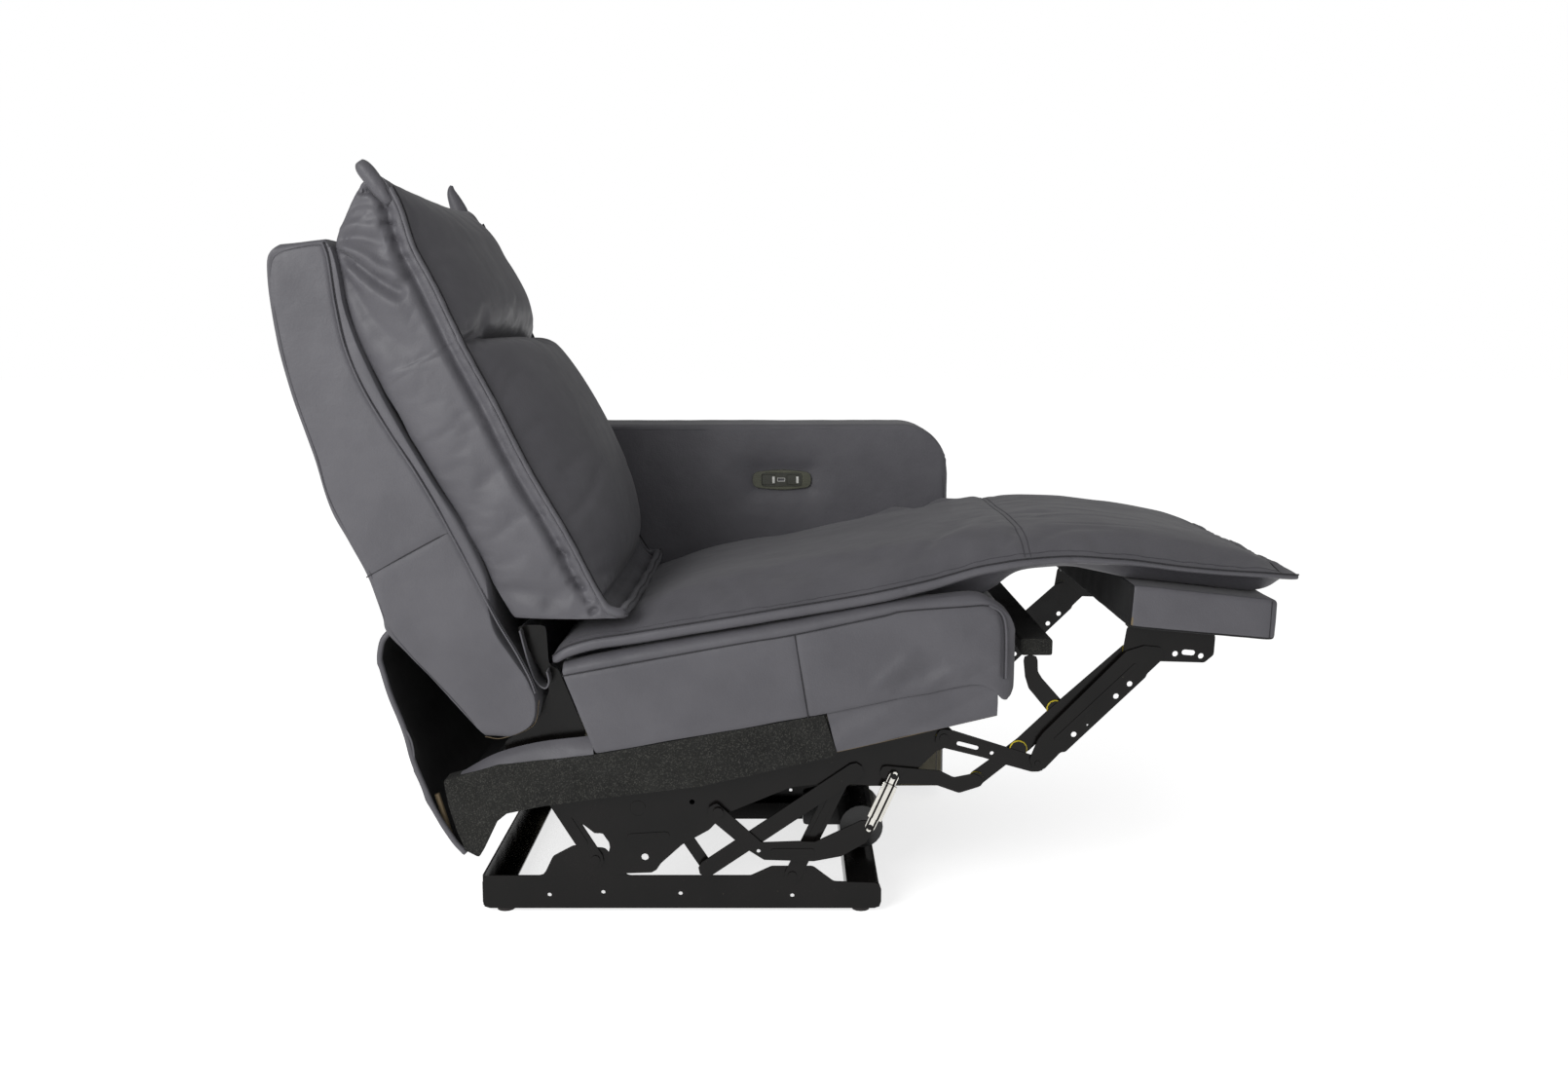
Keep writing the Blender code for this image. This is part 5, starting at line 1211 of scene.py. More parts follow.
        radii = [0.0046] * (len(down) - 3) + [0.0052, 0.0062, 0.0074] + [0.0088] * len(foot) + [0.0074]
        roll = tube("cushion_edge_roll", path, radii + [0.0046] * (len(rise) - 1))
        subdivide(roll)
        push(roll, lambda p, n: 0.0008 * ripple(p, (0.012, 0.020, 0.012), 5.0))
        # The groove tube's dark leather is painted shade in the groove beside the roll.
        groove_shade = tube("cushion_edge_groove", beside(0.0042, 0.0030, 0.0018, 0.0052, 0.0062), 0.0011)
        stitch = tube("cushion_edge_stitch", beside(-0.0030, -0.0034, 0.0, 0.0066, -0.0020), 0.0008)
        for piece, finish in ((roll, LEATHER), (groove_shade, SEAM_SHADE_LEATHER), (stitch, THREAD)):
            dress(piece, finish, self.body)

    def horn(self, name: str, side: int, line: Sequence[tuple[float, float, float]]) -> None:
        """Model an ear: the corner of the cover where the rolled edge stands up.

        Args:
            name: the piece's name.
            side: -1 on the near side and 1 on the far side.
            line: side-view places and radii from its base to its tip.
        """
        y = SEAT_MID_Y + side * (HALF_SEAT - 0.007)
        horn = tube(name, [at(x, y, z) for x, z, _ in line], [r for _, _, r in line])
        subdivide(horn, 2)
        push(horn, lambda p, n: 0.0010 * ripple(p, (0.010, 0.014, 0.018), 4.0))
        dress(horn, LEATHER, self.body)


PAD_STATIONS = [
    # x, under, welt, top
    (-0.3233, 0.3760, 0.3850, 0.3890),
    (-0.3120, 0.3700, 0.3950, 0.4020),
    (-0.2987, 0.3690, 0.4020, 0.4110),
    (-0.2646, 0.3715, 0.4115, 0.4230),
    (-0.2250, 0.3785, 0.4175, 0.4330),
    (-0.1957, 0.3840, 0.4223, 0.4460),
    (-0.1389, 0.3935, 0.4315, 0.4680),
    (-0.0700, 0.4055, 0.4428, 0.4835),
    (0.0000, 0.4175, 0.4550, 0.4950),
    (0.0700, 0.4330, 0.4666, 0.5100),
    (0.1294, 0.4458, 0.4775, 0.5215),
    (0.2000, 0.4533, 0.4935, 0.5365),
    (0.2626, 0.4600, 0.5111, 0.5480),
    (0.2960, 0.4720, 0.5175, 0.5530),
    (0.3299, 0.4970, 0.5228, 0.5585),
    (0.3808, 0.5040, 0.5268, 0.5610),
    (0.4122, 0.5041, 0.5268, 0.5610),
    (0.4528, 0.4960, 0.5240, 0.5590),
    (0.4853, 0.4888, 0.5215, 0.5560),
    (0.5500, 0.4818, 0.5130, 0.5480),
    (0.6100, 0.4753, 0.5075, 0.5360),
    (0.6600, 0.4698, 0.5045, 0.5245),
    (0.6865, 0.4740, 0.5025, 0.5150),
    (0.7030, 0.4850, 0.5010, 0.5085),
    (0.7140, 0.4935, 0.5000, 0.5035),
]
PAD_FOLDS = [
    Fold([(0.180, -0.345), (0.215, -0.290), (0.245, -0.230), (0.250, -0.170)], -0.0042, 0.0100, 0.0200, 0.3),
    Fold([(0.205, -0.350), (0.245, -0.310), (0.280, -0.250), (0.300, -0.180)], 0.0030, 0.0100, 0.0200, 0.3),
    Fold([(0.300, -0.366), (0.322, -0.330), (0.330, -0.290)], -0.0032, 0.0070, 0.0120, 0.3),
    Fold([(0.352, -0.360), (0.380, -0.330), (0.420, -0.315), (0.480, -0.310)], -0.0026, 0.0080, 0.0140, 0.3),
    Fold([(0.150, 0.198), (0.175, 0.150), (0.190, 0.080)], 0.0060, 0.0120, 0.0240, 0.2),
    Fold([(0.205, 0.198), (0.225, 0.130), (0.235, 0.060)], -0.0050, 0.0120, 0.0220, 0.2),
    Fold([(0.255, 0.198), (0.262, 0.140), (0.275, 0.090)], 0.0050, 0.0110, 0.0200, 0.2),
    Fold([(0.050, 0.198), (0.060, 0.150), (0.070, 0.110)], -0.0040, 0.0120, 0.0200, 0.2),
    Fold([(-0.150, -0.340), (-0.060, -0.300), (0.060, -0.290), (0.150, -0.310)], -0.0022, 0.0240, 0.0280, 0.3),
]


@dataclass
class SeatPad:
    """The loose pad over seat and footrest: one cover with rolled edges that bends at the knee."""

    across: int = 68
    deep: int = 14
    stations: int = 138
    knee: Pair = (0.300, 0.478)
    cross_seam_x: float = 0.337
    tip_seam_x: float = 0.692
    edge: float = 0.008

    def build(self) -> None:
        """Sew, blow up and dress the pad and its seams."""
        block = SewnBlock("seat_and_leg_pad", self.across, self.deep)
        rows = self.rows()
        pad = block.sew(rows, self.point)
        inflate(pad, self.held(block, int(abs(rows[:, 0] - self.cross_seam_x).argmin())), 1.6, slack=0.008, cap=0.005)
        subdivide(pad)
        push(pad, self.softness)
        self.work_folds(pad, rows)
        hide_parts("seat_pad", "footrest_pad")
        self.bend(pad, LEATHER)
        for (word, side), panel in zip(SIDES, (Panel.FACE, Panel.FAR)):
            line = block.seam(panel)
            outer = [p + Vector((0, side * 0.0010, 0.0008)) for p in line]
            # A dark groove tube along each rolled edge: painted shade in the seam's valley.
            self.bend(tube(f"pad_edge_groove_{word}", outer, 0.0011), SEAM_SHADE_LEATHER)
            inner = [p + Vector((0, -side * 0.0100, 0.0)) for p in line]
            self.bend(tube(f"pad_edge_stitch_{word}", self.lay_on(pad, inner[3:-3], 0.0001), 0.0007), THREAD)
        half = HALF_SEAT - self.edge
        # The tip seam is a dark tube of painted shade; the knee stitches are thread.
        for name, x, finish in (
            ("pad_knee_stitch_rear", self.cross_seam_x - 0.004, THREAD),
            ("pad_knee_stitch_front", self.cross_seam_x + 0.004, THREAD),
            ("pad_tip_seam", self.tip_seam_x, SEAM_SHADE_LEATHER),
        ):
            path = [at(x, SEAT_MID_Y - half + 2 * half * n / 80, 0.0) for n in range(81)]
            self.bend(tube(name, self.lay_on(pad, path, 0.0), 0.0007), finish)

    @staticmethod
    def lay_on(pad: Object, path: Sequence[Vector], above: float) -> list[Vector]:
        """Lay a path on the pad's top.

        Args:
            pad: the pad.
            path: the path, seen from above.
            above: its height over the leather.

        Returns:
            The path on the pad.
        """
        mesh = pad.data
        tree = BVHTree.FromPolygons([v.co for v in mesh.vertices], [p.vertices for p in mesh.polygons])
        laid = []
        for place in path:
            spot = tree.ray_cast(Vector((place.x, place.y, 1.0)), Vector((0, 0, -1)))[0]
            laid.append(Vector((place.x, place.y, (spot or place).z + above)))
        return laid

    def rows(self) -> np.ndarray:
        """Divide the stations evenly along the pad.

        Returns:
            Rows of x, under, welt and top.
        """
        wanted = np.linspace(PAD_STATIONS[0][0], PAD_STATIONS[-1][0], self.stations)
        columns = [wanted]
        for k in range(1, 4):
            line = np.array(smooth_line([(r[0], r[k]) for r in PAD_STATIONS], 600))
            columns.append(np.interp(wanted, line[:, 0], line[:, 1]))
        return np.array(columns).T

    @staticmethod
    def roll(x: float) -> float:
        """Return the height of the rolled edge at x."""
        return 0.016 - 0.006 * min(1.0, max(0.0, (x - 0.15) / 0.25)) - 0.003 * min(1.0, max(0.0, (x - 0.42) / 0.10))

    def point(self, panel: Panel, s: float, row: Sequence[float]) -> Vector:
        """Place one point of a section.

        Args:
            panel: the panel that it is on.
            s: the share of the way along the panel.
            row: x, under, welt and top of the station.

        Returns:
            The point.
        """
        x, under, welt, top = row
        ends = min(1.0, (PAD_STATIONS[-1][0] - x) / 0.03, (x - PAD_STATIONS[0][0]) / 0.02)
        half = HALF_SEAT - self.edge * (1 - max(0.0, ends)) ** 2
        roll = min(self.roll(x), max(0.006, welt - under))
        low, tuck = welt - roll, half - 0.034
        if panel is Panel.BACK:
            y = tuck * (1 - 2 * s)
            inside = min(1.0, (tuck - abs(y)) / 0.028)
            return at(x, SEAT_MID_Y + y, low + (under - low) * inside**2 * (3 - 2 * inside))
        if panel is Panel.FACE:
            spread = math.sin(math.pi / 2 * (2 * s - 1)) * 0.3 + (2 * s - 1) * 0.7
            return at(x, SEAT_MID_Y + (half - 0.0045) * spread, welt + (top - welt) * (1 - abs(spread) ** 6))
        t = panel.up(s)
        if t < 0.35:
            y, z = tuck + (half - self.edge - tuck) * t / 0.35, low
        else:
            turn = math.radians(-90 + 150 * (t - 0.35) / 0.65)
            y = half - self.edge + self.edge * math.cos(turn)
            z = low + (1 + math.sin(turn)) / (1 + math.sin(math.radians(60))) * roll
        return at(x, SEAT_MID_Y + panel.side * y, z)

    @staticmethod
    def held(block: SewnBlock, seam_row: int) -> list[int]:
        """List the vertices that stay in place.

        Args:
            block: the sewn cover.
            seam_row: the station of the cross seam.

        Returns:
            Vertex numbers.
        """
        size, last = len(block.loops[0]), len(block.loops) - 1
        face, far = (block.corner(p) for p in (Panel.FACE, Panel.FAR))
        pins = block.end_points()
        for number in range(last + 1):
            whole = number in (0, seam_row, last)
            pins += [number * size + n for n in range(size) if whole or n <= face or n >= far]
        return pins

    def work_folds(self, pad: Object, rows: np.ndarray) -> None:
        """Work the seams' grooves, the drag folds and the stretch lines into the pad.

        Args:
            pad: the pad.
            rows: its stations.
        """
        (_, y0), (_, y1) = side_faces(self.edge)
        folds = [
            Fold([(x, y0), (x, y1)], height, width, fade=fade)
            for x, height, width, fade in (
                (self.cross_seam_x, -0.0012, 0.0070, 0.01),
                (self.tip_seam_x, -0.0030, 0.0036, 0.01),
                (self.tip_seam_x + 0.009, 0.0022, 0.0050, 0.03),
            )
        ]
        folds += PAD_FOLDS
        for n, y in enumerate((-0.290, -0.222, -0.140, -0.060, 0.030, 0.110)):
            bow = 0.010 * math.sin(n * 1.9)
            start, end = 0.360 + 0.012 * math.cos(n * 2.3), 0.520 + 0.030 * math.sin(n * 1.3)
            line = [(start, y), ((start + end) / 2, y + bow), (end, y + 2 * bow)]
            folds.append(Fold(line, 0.0016 if n % 2 else -0.0014, 0.0030, 0.0060, 0.35))
        for n in range(15):
            y = y0 + 0.03 + 0.036 * n
            line = [(self.tip_seam_x + 0.002, y), (self.tip_seam_x + 0.016, y + 0.004)]
            folds.append(Fold(line, -0.0009, 0.0030, fade=0.3))
        work(pad, Facing.ABOVE, folds)
        side = [(float(r[0]), float(r[2]) - 0.5 * self.roll(float(r[0]))) for r in rows[::5]]
        creases = [
            Fold([(x, z + 0.007), (x + 0.002, z), (x + 0.001, z - 0.007)], -0.0016, 0.0022, fade=0.1)
            for x, z in (side[n] for n in (13, 19))
        ]
        work(pad, Facing.NEAR, creases)

    @staticmethod
    def softness(place: Vector, normal: Vector) -> float:
        """Return the slow unevenness of the filling under the pad's top.

        Args:
            place: a point of the pad.
            normal: the way that it faces.

        Returns:
            The height at that point.
        """
        if normal.z < 0.3:
            return 0.0004 * ripple(place, (0.05, 0.05, 0.02), 2.2)
        edge = min(1.0, (HALF_SEAT - abs(place.y - SEAT_MID_Y)) / 0.08)
        slow = 0.0034 * ripple(place, (0.17, 0.13, 1.0), 1.7)
        return edge * (slow + 0.0012 * ripple(place, (0.07, 0.05, 1.0), 9.2))

    def bend(self, piece: Object, finish: Finish) -> None:
        """Paint a piece of the pad, shade it smooth and bake its place.

        Args:
            piece: the piece.
            finish: its finish.
        """
        paint(piece, finish)
        bpy.ops.object.shade_smooth()
        start, end = (at(x, SEAT_MID_Y, 0.53) for x in self.knee)
        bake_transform(piece)
        LOG.info("%s bends between seat_frame and footrest", piece.name)


BOX_STATIONS = [
    # x at the foot, foot z, x at the seam, seam z, pull-in of the sides, bolster height
    (-0.2648, 0.2472, -0.3090, 0.3620, 0.000, 0.0150),
    (-0.2100, 0.2572, -0.2500, 0.3715, 0.000, 0.0190),
    (-0.1420, 0.2692, -0.1420, 0.3912, 0.000, 0.0190),
    (0.0000, 0.2944, 0.0000, 0.4160, 0.000, 0.0190),
    (0.0571, 0.3046, 0.0571, 0.4290, 0.000, 0.0170),
    (0.1294, 0.3199, 0.1294, 0.4440, 0.000, 0.0160),
    (0.2000, 0.3337, 0.2000, 0.4550, 0.000, 0.0160),
    (0.2626, 0.3462, 0.2626, 0.4615, 0.000, 0.0150),
    (0.2900, 0.3400, 0.2880, 0.4575, 0.001, 0.0090),
    (0.3060, 0.3240, 0.3060, 0.4500, 0.004, 0.0050),
    (0.3165, 0.3268, 0.3183, 0.4359, 0.009, 0.0020),
    (0.3225, 0.3400, 0.3232, 0.4180, 0.015, 0.0010),
]
BOX_FOLDS = [
    Fold([(0.120, 0.338), (0.150, 0.365), (0.190, 0.398)], 0.0034, 0.0080, 0.0120, 0.3),
    Fold([(0.150, 0.335), (0.185, 0.360), (0.225, 0.378)], -0.0034, 0.0080, 0.0120, 0.3),
    Fold([(0.190, 0.340), (0.230, 0.362), (0.275, 0.372)], 0.0034, 0.0070, 0.0110, 0.3),
    Fold([(0.286, 0.430), (0.270, 0.424), (0.250, 0.420)], -0.0016, 0.0060, 0.0100, 0.3),
    Fold([(0.298, 0.372), (0.276, 0.366), (0.250, 0.352)], -0.0020, 0.0050, 0.0090, 0.3),
    Fold([(-0.270, 0.330), (-0.180, 0.320), (-0.080, 0.345)], 0.0014, 0.0200, 0.0260, 0.3),
]


@dataclass
class SeatBox:
    """The upholstered seat box with its soft upper edge and front bolster, hollow over the springs."""

    body: str = "seat_frame"
    across: int = 60
    deep: int = 22
    stations: int = 92
    wall: float = 0.052
    soft: float = 0.018
    seam_share: float = 0.74
    well: Pair = (-0.2300, 0.2500)
    side_seam: Sequence[Pair] = ((0.0149, 0.4170), (0.0258, 0.3490), (0.0340, 0.3000))
    top_seam: Sequence[Pair] = (
        (-0.3085, 0.3598), (-0.2777, 0.3656), (-0.1963, 0.3808), (-0.0608, 0.4056), (0.0135, 0.4180),
        (0.1348, 0.4440), (0.1657, 0.4512), (0.2500, 0.4575), (0.2808, 0.4590), (0.2964, 0.4500), (0.3031, 0.4359),
        (0.3055, 0.4100), (0.3058, 0.3560),
    )

    def build(self) -> None:
        """Sew and dress the box and its seams."""
        block = SewnBlock("seat_box_cover", self.across, self.deep)
        box = block.sew(smooth_line(BOX_STATIONS, self.stations), self.point)
        subdivide(box)
        push(box, self.unevenness)
        folds = [Fold(self.top_seam, -0.0020, 0.0034, fade=0.01), Fold(self.side_seam, -0.0014, 0.0036, fade=0.02)]
        for facing in (Facing.NEAR, Facing.FAR):
            work(box, facing, folds + BOX_FOLDS)
        self.cut_well(box)
        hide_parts("seat_box")
        dress(box, LEATHER, self.body)
        sides = side_faces(0.0002)
        # The top and side seams are dark tubes: painted shade in their valleys.
        lines = {"box_top_seam": self.top_seam, "box_side_seam": self.side_seam}
        sewn_lines(self.body, lines, sides, 0.0009, SEAM_SHADE_LEATHER)
        piping = {"box_bolster_piping": [(x + 0.0032, z + 0.0006) for x, z in self.top_seam[8:]]}
        sewn_lines(self.body, piping, [(word, y * 1.0012) for word, y in sides], 0.0017, LEATHER)

    def point(self, panel: Panel, s: float, row: Sequence[float]) -> Vector:
        """Place one point of a section.

        Args:
            panel: the panel that it is on.
            s: the share of the way along the panel.
            row: foot, seam, pull-in and bolster height of the station.

        Returns:
            The point.
        """
        foot, seam, pull, rise = Vector(row[0:2]), Vector(row[2:4]), row[4], row[5]
        half = HALF_SEAT - pull
        if panel is Panel.BACK:
            return at(foot.x, SEAT_MID_Y + half * (1 - 2 * s), foot.y)
        if panel is Panel.FACE:
            y = (half - self.soft) * (2 * s - 1)
            inside = min(1.0, max(0.0, (half - self.soft - abs(y) - 0.008) / 0.022))
            return at(seam.x, SEAT_MID_Y + y, seam.y + rise * (1 - inside**2 * (3 - 2 * inside)) - 0.002 * inside)
        t = panel.up(s)
        if t <= self.seam_share:
            place = foot.lerp(seam, t / self.seam_share)
            return at(place.x, SEAT_MID_Y + panel.side * half, place.y)
        turn = math.pi / 2 * (t - self.seam_share) / (1 - self.seam_share)
        y = half - self.soft * (1 - math.cos(turn))
        return at(seam.x, SEAT_MID_Y + panel.side * y, seam.y + rise * math.sin(turn))

    @staticmethod
    def unevenness(place: Vector, normal: Vector) -> float:
        """Return the slack of the box's panels.

        Args:
            place: a point of the box.
            normal: the way that it faces.

        Returns:
            The height at that point.
        """
        if abs(normal.y) < 0.5:
            return 0.0006 * ripple(place, (0.03, 0.05, 0.03), 2.0)
        drag = place.x * 0.8 + place.z
        return 0.0012 * noise.noise(Vector((drag / 0.05, place.z / 0.12, 0.3))) + 0.0004

    def cut_well(self, box: Object) -> None:
        """Cut the open well over the springs out of the box.

        Args:
            box: the closed cover.
        """
        x0, x1 = self.well
        size = (x1 - x0, 2 * (HALF_SEAT - self.wall), 0.4)
        centre = at((x0 + x1) / 2, SEAT_MID_Y, 0.36)
        tool = cast("well_tool", bpy.ops.mesh.primitive_cube_add, size=1, location=centre, scale=size)
        apply_modifier(box, "BOOLEAN", operation="DIFFERENCE", object=tool, solver="EXACT")
        bpy.data.objects.remove(tool, do_unlink=True)


@dataclass
class Apron:
    """The leather flap that hangs under the front of the seat box on its three free sides."""

    body: str = "seat_frame"
    thick: float = 0.0022
    inset: float = 0.0062
    front_inset: float = 0.0060
    front_x: float = 0.2955
    front_top: float = 0.3560
    front_drop: float = 0.0530
    foot: Sequence[Pair] = ((0.0742, 0.2500), (0.1296, 0.2626), (0.2985, 0.3028))
    head: Sequence[Pair] = ((0.0585, 0.3100), (0.1291, 0.3260), (0.2985, 0.3590))
    raw_edge: Sequence[Pair] = ((0.0742, 0.2494), (0.1296, 0.2620), (0.2985, 0.3022))

    def build(self) -> None:
        """Cut, hang and dress the flap, with its taupe lining."""
        for word, side in SIDES:
            flap = self.panel(f"apron_{word}", side, 0.0, 1.0)
            self.hang(flap, LEATHER)
            if side < 0:
                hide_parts("seat_apron")
            self.hang(self.panel(f"apron_lining_{word}", side, 0.0032, 0.97), LIGHTENED_LINING)
            y = SEAT_MID_Y + side * (HALF_SEAT - self.inset)
            sewn_lines(self.body, {"apron_raw_edge": self.raw_edge}, [(word, y)], 0.0005, RAW_EDGE)
        self.hang(self.front(), LEATHER)

    def panel(self, name: str, side: int, inset: float, reach: float) -> Object:
        """Cut one side panel.

        Args:
            name: the piece's name.
            side: -1 on the near side and 1 on the far side.
            inset: its distance inside the flap.
            reach: how much of the drop it covers.

        Returns:
            The panel, a grid without thickness.
        """
        lines = []
        for low, high in zip(smooth_line(self.foot, 48), smooth_line(self.head, 48)):
            line = []
            for t in (j / 12 * reach for j in range(13)):
                x, z = Vector(high).lerp(Vector(low), t)
                wave = 0.0085 * noise.noise(Vector(((x * 0.55 - z) / 0.024, t * 0.7, side * 2.0)))
                belly = 0.0020 * math.sin(math.pi * t)
                y = HALF_SEAT - self.inset - inset + (wave * 0.7 + belly) * min(1.0, 3 * t)
                line.append(at(x, SEAT_MID_Y + side * y, z))
            lines.append(line)
        return woven(name, lines)

    def front(self) -> Object:
        """Cut the front panel.

        Returns:
            The panel, a grid without thickness.
        """
        lines = []
        for y in ((HALF_SEAT - self.front_inset) * (2 * i / 70 - 1) for i in range(71)):
            line = []
            for t in (j / 10 for j in range(11)):
                wave = 0.0020 * noise.noise(Vector((y / 0.05, t * 0.8, 4.0))) * min(1.0, 3 * t)
                line.append(at(self.front_x + wave, SEAT_MID_Y + y, self.front_top - self.front_drop * t))
            lines.append(line)
        return woven("apron_front", lines)

    def hang(self, piece: Object, finish: Finish) -> None:
        """Thicken a panel and dress it.

        Args:
            piece: the panel.
            finish: its finish.
        """
        area = thicken(piece, self.thick)
        dress(piece, finish, self.body)


@dataclass
class LooseLeather:
    """The loose leather behind the seat: a strap laid along each rail and the curled tail of the back."""

    thick: float = 0.0020
    strap_low: Sequence[Pair] = ((-0.4560, 0.2125), (-0.4083, 0.2240), (-0.3210, 0.2369), (-0.2672, 0.2470))
    strap_high: Sequence[Pair] = ((-0.4560, 0.2165), (-0.4083, 0.2429), (-0.3478, 0.2598), (-0.2700, 0.2694))
    curl: Sequence[Pair] = (
        (-0.3690, 0.4215), (-0.3578, 0.3773), (-0.3475, 0.3495), (-0.3354, 0.3397), (-0.3298, 0.3495), (-0.3322, 0.3634)
    )

    def build(self) -> None:
        """Cut, lay and dress the straps, the raw ends of the rails' boards and the tail."""
        self.strap("near", -1)
        self.strap("far", 1)
        for word, side in SIDES:
            y = SEAT_MID_Y + side * 0.278
            end = [at(-0.4935 + 0.0185 * n / 12, y, 0.1840 - 0.0640 * n / 12) for n in range(13)]
            dress(tube(f"rail_board_end_{word}", end, 0.0042), RAW_EDGE, "seat_frame")
        half, curl, lines = HALF_SEAT - 0.010, smooth_line(self.curl, 40), []
        for y in (half * (2 * n / 60 - 1) for n in range(61)):
            line = []
            for x, z in curl:
                wave = 0.0030 * noise.noise(Vector((y / 0.07, z / 0.09, 3.0)))
                line.append(at(x + wave, SEAT_MID_Y + y, z))
            lines.append(line)
        tail = woven("back_tail_flap", lines)
        area = thicken(tail, self.thick)
        dress(tail, LEATHER, "back")

    def strap(self, word: str, side: int) -> None:
        """Lay one strap over the felt rail, wavy and turned down at its outer edge.

        Args:
            word: the side's name.
            side: -1 on the near side and 1 on the far side.
        """
        low, lines = smooth_line(self.strap_low, 50), []
        for foot, head in zip(low, smooth_line(self.strap_high, 50)):
            line = []
            for t in (k / 8 for k in range(9)):
                x, z = Vector(foot).lerp(Vector(head), t)
                wave = 0.0014 * noise.noise(Vector((x / 0.030 + 0.7 * t, 2.0 * t, side * 3.0)))
                inset = 0.0035 + 0.0150 * t**1.6 + wave
                line.append(at(x, SEAT_MID_Y + side * (HALF_SEAT - inset), z))
            lines.append(line)
        strap = woven(f"rail_strap_{word}", lines)
        area, length = thicken(strap, self.thick), math.dist(low[0], low[-1])
        dress(strap, LEATHER, "seat_frame")


@dataclass
class RearSkirt:
    """The leather panel that closes the gap under the back, hung from shell to seat rail."""

    thick: float = 0.0026
    inset: float = 0.0045
    columns: int = 90
    rows: int = 64
    drape: Sequence[Pair] = (
        (-0.5470, 0.4250), (-0.5560, 0.4165), (-0.5625, 0.4070), (-0.5668, 0.3864), (-0.5646, 0.3712),
        (-0.5490, 0.3185), (-0.5307, 0.2570), (-0.5058, 0.1823), (-0.4735, 0.1240), (-0.4545, 0.1015),
    )

    def build(self) -> None:
        """Cut, drape and dress the skirt and its hems."""
        drape = smooth_line(self.drape, self.rows + 1)
        half, lines = HALF_SEAT - self.inset, []
        for y in (half * (2 * i / self.columns - 1) for i in range(self.columns + 1)):
            line = []
            for j, (x, z) in enumerate(drape):
                loose = math.sin(math.pi * (j / self.rows))
                edge = math.exp(-(((half - abs(y)) / 0.035) ** 2))
                curl = 0.016 * edge * loose * noise.noise(Vector((z / 0.05, 1.5, 0.0)))
                slow = 0.006 * loose * noise.noise(Vector((y / 0.16, z / 0.12, 5.0)))
                line.append(at(x + abs(curl) + slow * (1 - edge), SEAT_MID_Y + y, z))
            lines.append(line)
        skirt = woven("rear_skirt_panel", lines)
        area = thicken(skirt, self.thick)
        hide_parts("rear_skirt")
        self.bend(skirt)
        skirt.data.materials.append(BLACK_CLOTH.material())
        for face in skirt.data.polygons:
            if face.normal.x > 0.2:
                face.material_index = 1
        for word, side in SIDES:
            path = []
            for n, (x, z) in enumerate(drape):
                sway = 0.0040 * noise.noise(Vector((z / 0.06, 2.5, 0.0))) * math.sin(math.pi * n / self.rows)
                path.append(at(x + 0.0030 + sway, SEAT_MID_Y + side * (half - 0.0030), z))
            self.bend(tube(f"skirt_hem_{word}", path, 0.0042))

    @staticmethod
    def bend(piece: Object) -> None:
        """Paint a piece of the skirt, shade it smooth and bake its place.

        Args:
            piece: the piece.
        """
        paint(piece, LEATHER)
        bpy.ops.object.shade_smooth()
        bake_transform(piece)
        LOG.info("%s bends between seat_frame and back", piece.name)


BOARD_STATIONS = [
    # x at the foot, foot z, x at the top, top z, pull-in
    (0.4795, 0.4300, 0.4845, 0.4840, 0.004),
    (0.4830, 0.4265, 0.4870, 0.4868, 0.001),
    (0.5400, 0.4210, 0.5430, 0.4812, 0.000),
    (0.6200, 0.4140, 0.6220, 0.4728, 0.000),
    (0.6740, 0.4095, 0.6760, 0.4668, 0.000),
    (0.6825, 0.4100, 0.6850, 0.4645, 0.003),
    (0.6840, 0.4140, 0.6862, 0.4600, 0.007),
]


@dataclass
class LegBoard:
    """The leather-covered board of the footrest."""

    body: str = "footrest"
    across: int = 56
    deep: int = 8
    stations: int = 34

    def build(self) -> None:
        """Sew and dress the board, with its black underside and raw corner."""
        block = SewnBlock("leg_board_cover", self.across, self.deep)
        board = block.sew(smooth_line(BOARD_STATIONS, self.stations), self.point)
        subdivide(board)
        push(board, lambda p, n: 0.0007 * ripple(p, (0.03, 0.04, 0.03), 6.0))
        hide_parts("footrest_board")
        dress(board, LEATHER, self.body)
        for finish in (BLACK_CLOTH, RAW_EDGE):
            board.data.materials.append(finish.material())
        for face in board.data.polygons:
            if face.normal.z < -0.4 or face.normal.x < -0.5:
                face.material_index = 1
            elif face.center.x - DATUM_X < 0.4845 and face.center.z < 0.4400:
                face.material_index = 2
        # The front seam is a dark tube: painted shade in its valley.
        seam = {"board_front_seam": [(0.6745, 0.4125), (0.6765, 0.4650)]}
        sewn_lines(self.body, seam, side_faces(0.0040), 0.0007, SEAM_SHADE_LEATHER)

    @staticmethod
    def point(panel: Panel, s: float, row: Sequence[float]) -> Vector:
        """Place one point of a section.

        Args:
            panel: the panel that it is on.
            s: the share of the way along the panel.
            row: foot, top and pull-in of the station.

        Returns:
            The point.
        """
        foot, top, half = Vector(row[0:2]), Vector(row[2:4]), HALF_SEAT - 0.004 - row[4]
        if panel.broad:
            y = half * panel.across(s)
            side = foot if panel is Panel.BACK else top
        else:
            y = half * panel.side
            side = foot.lerp(top, panel.up(s))
        return at(side.x, SEAT_MID_Y + y, side.y)


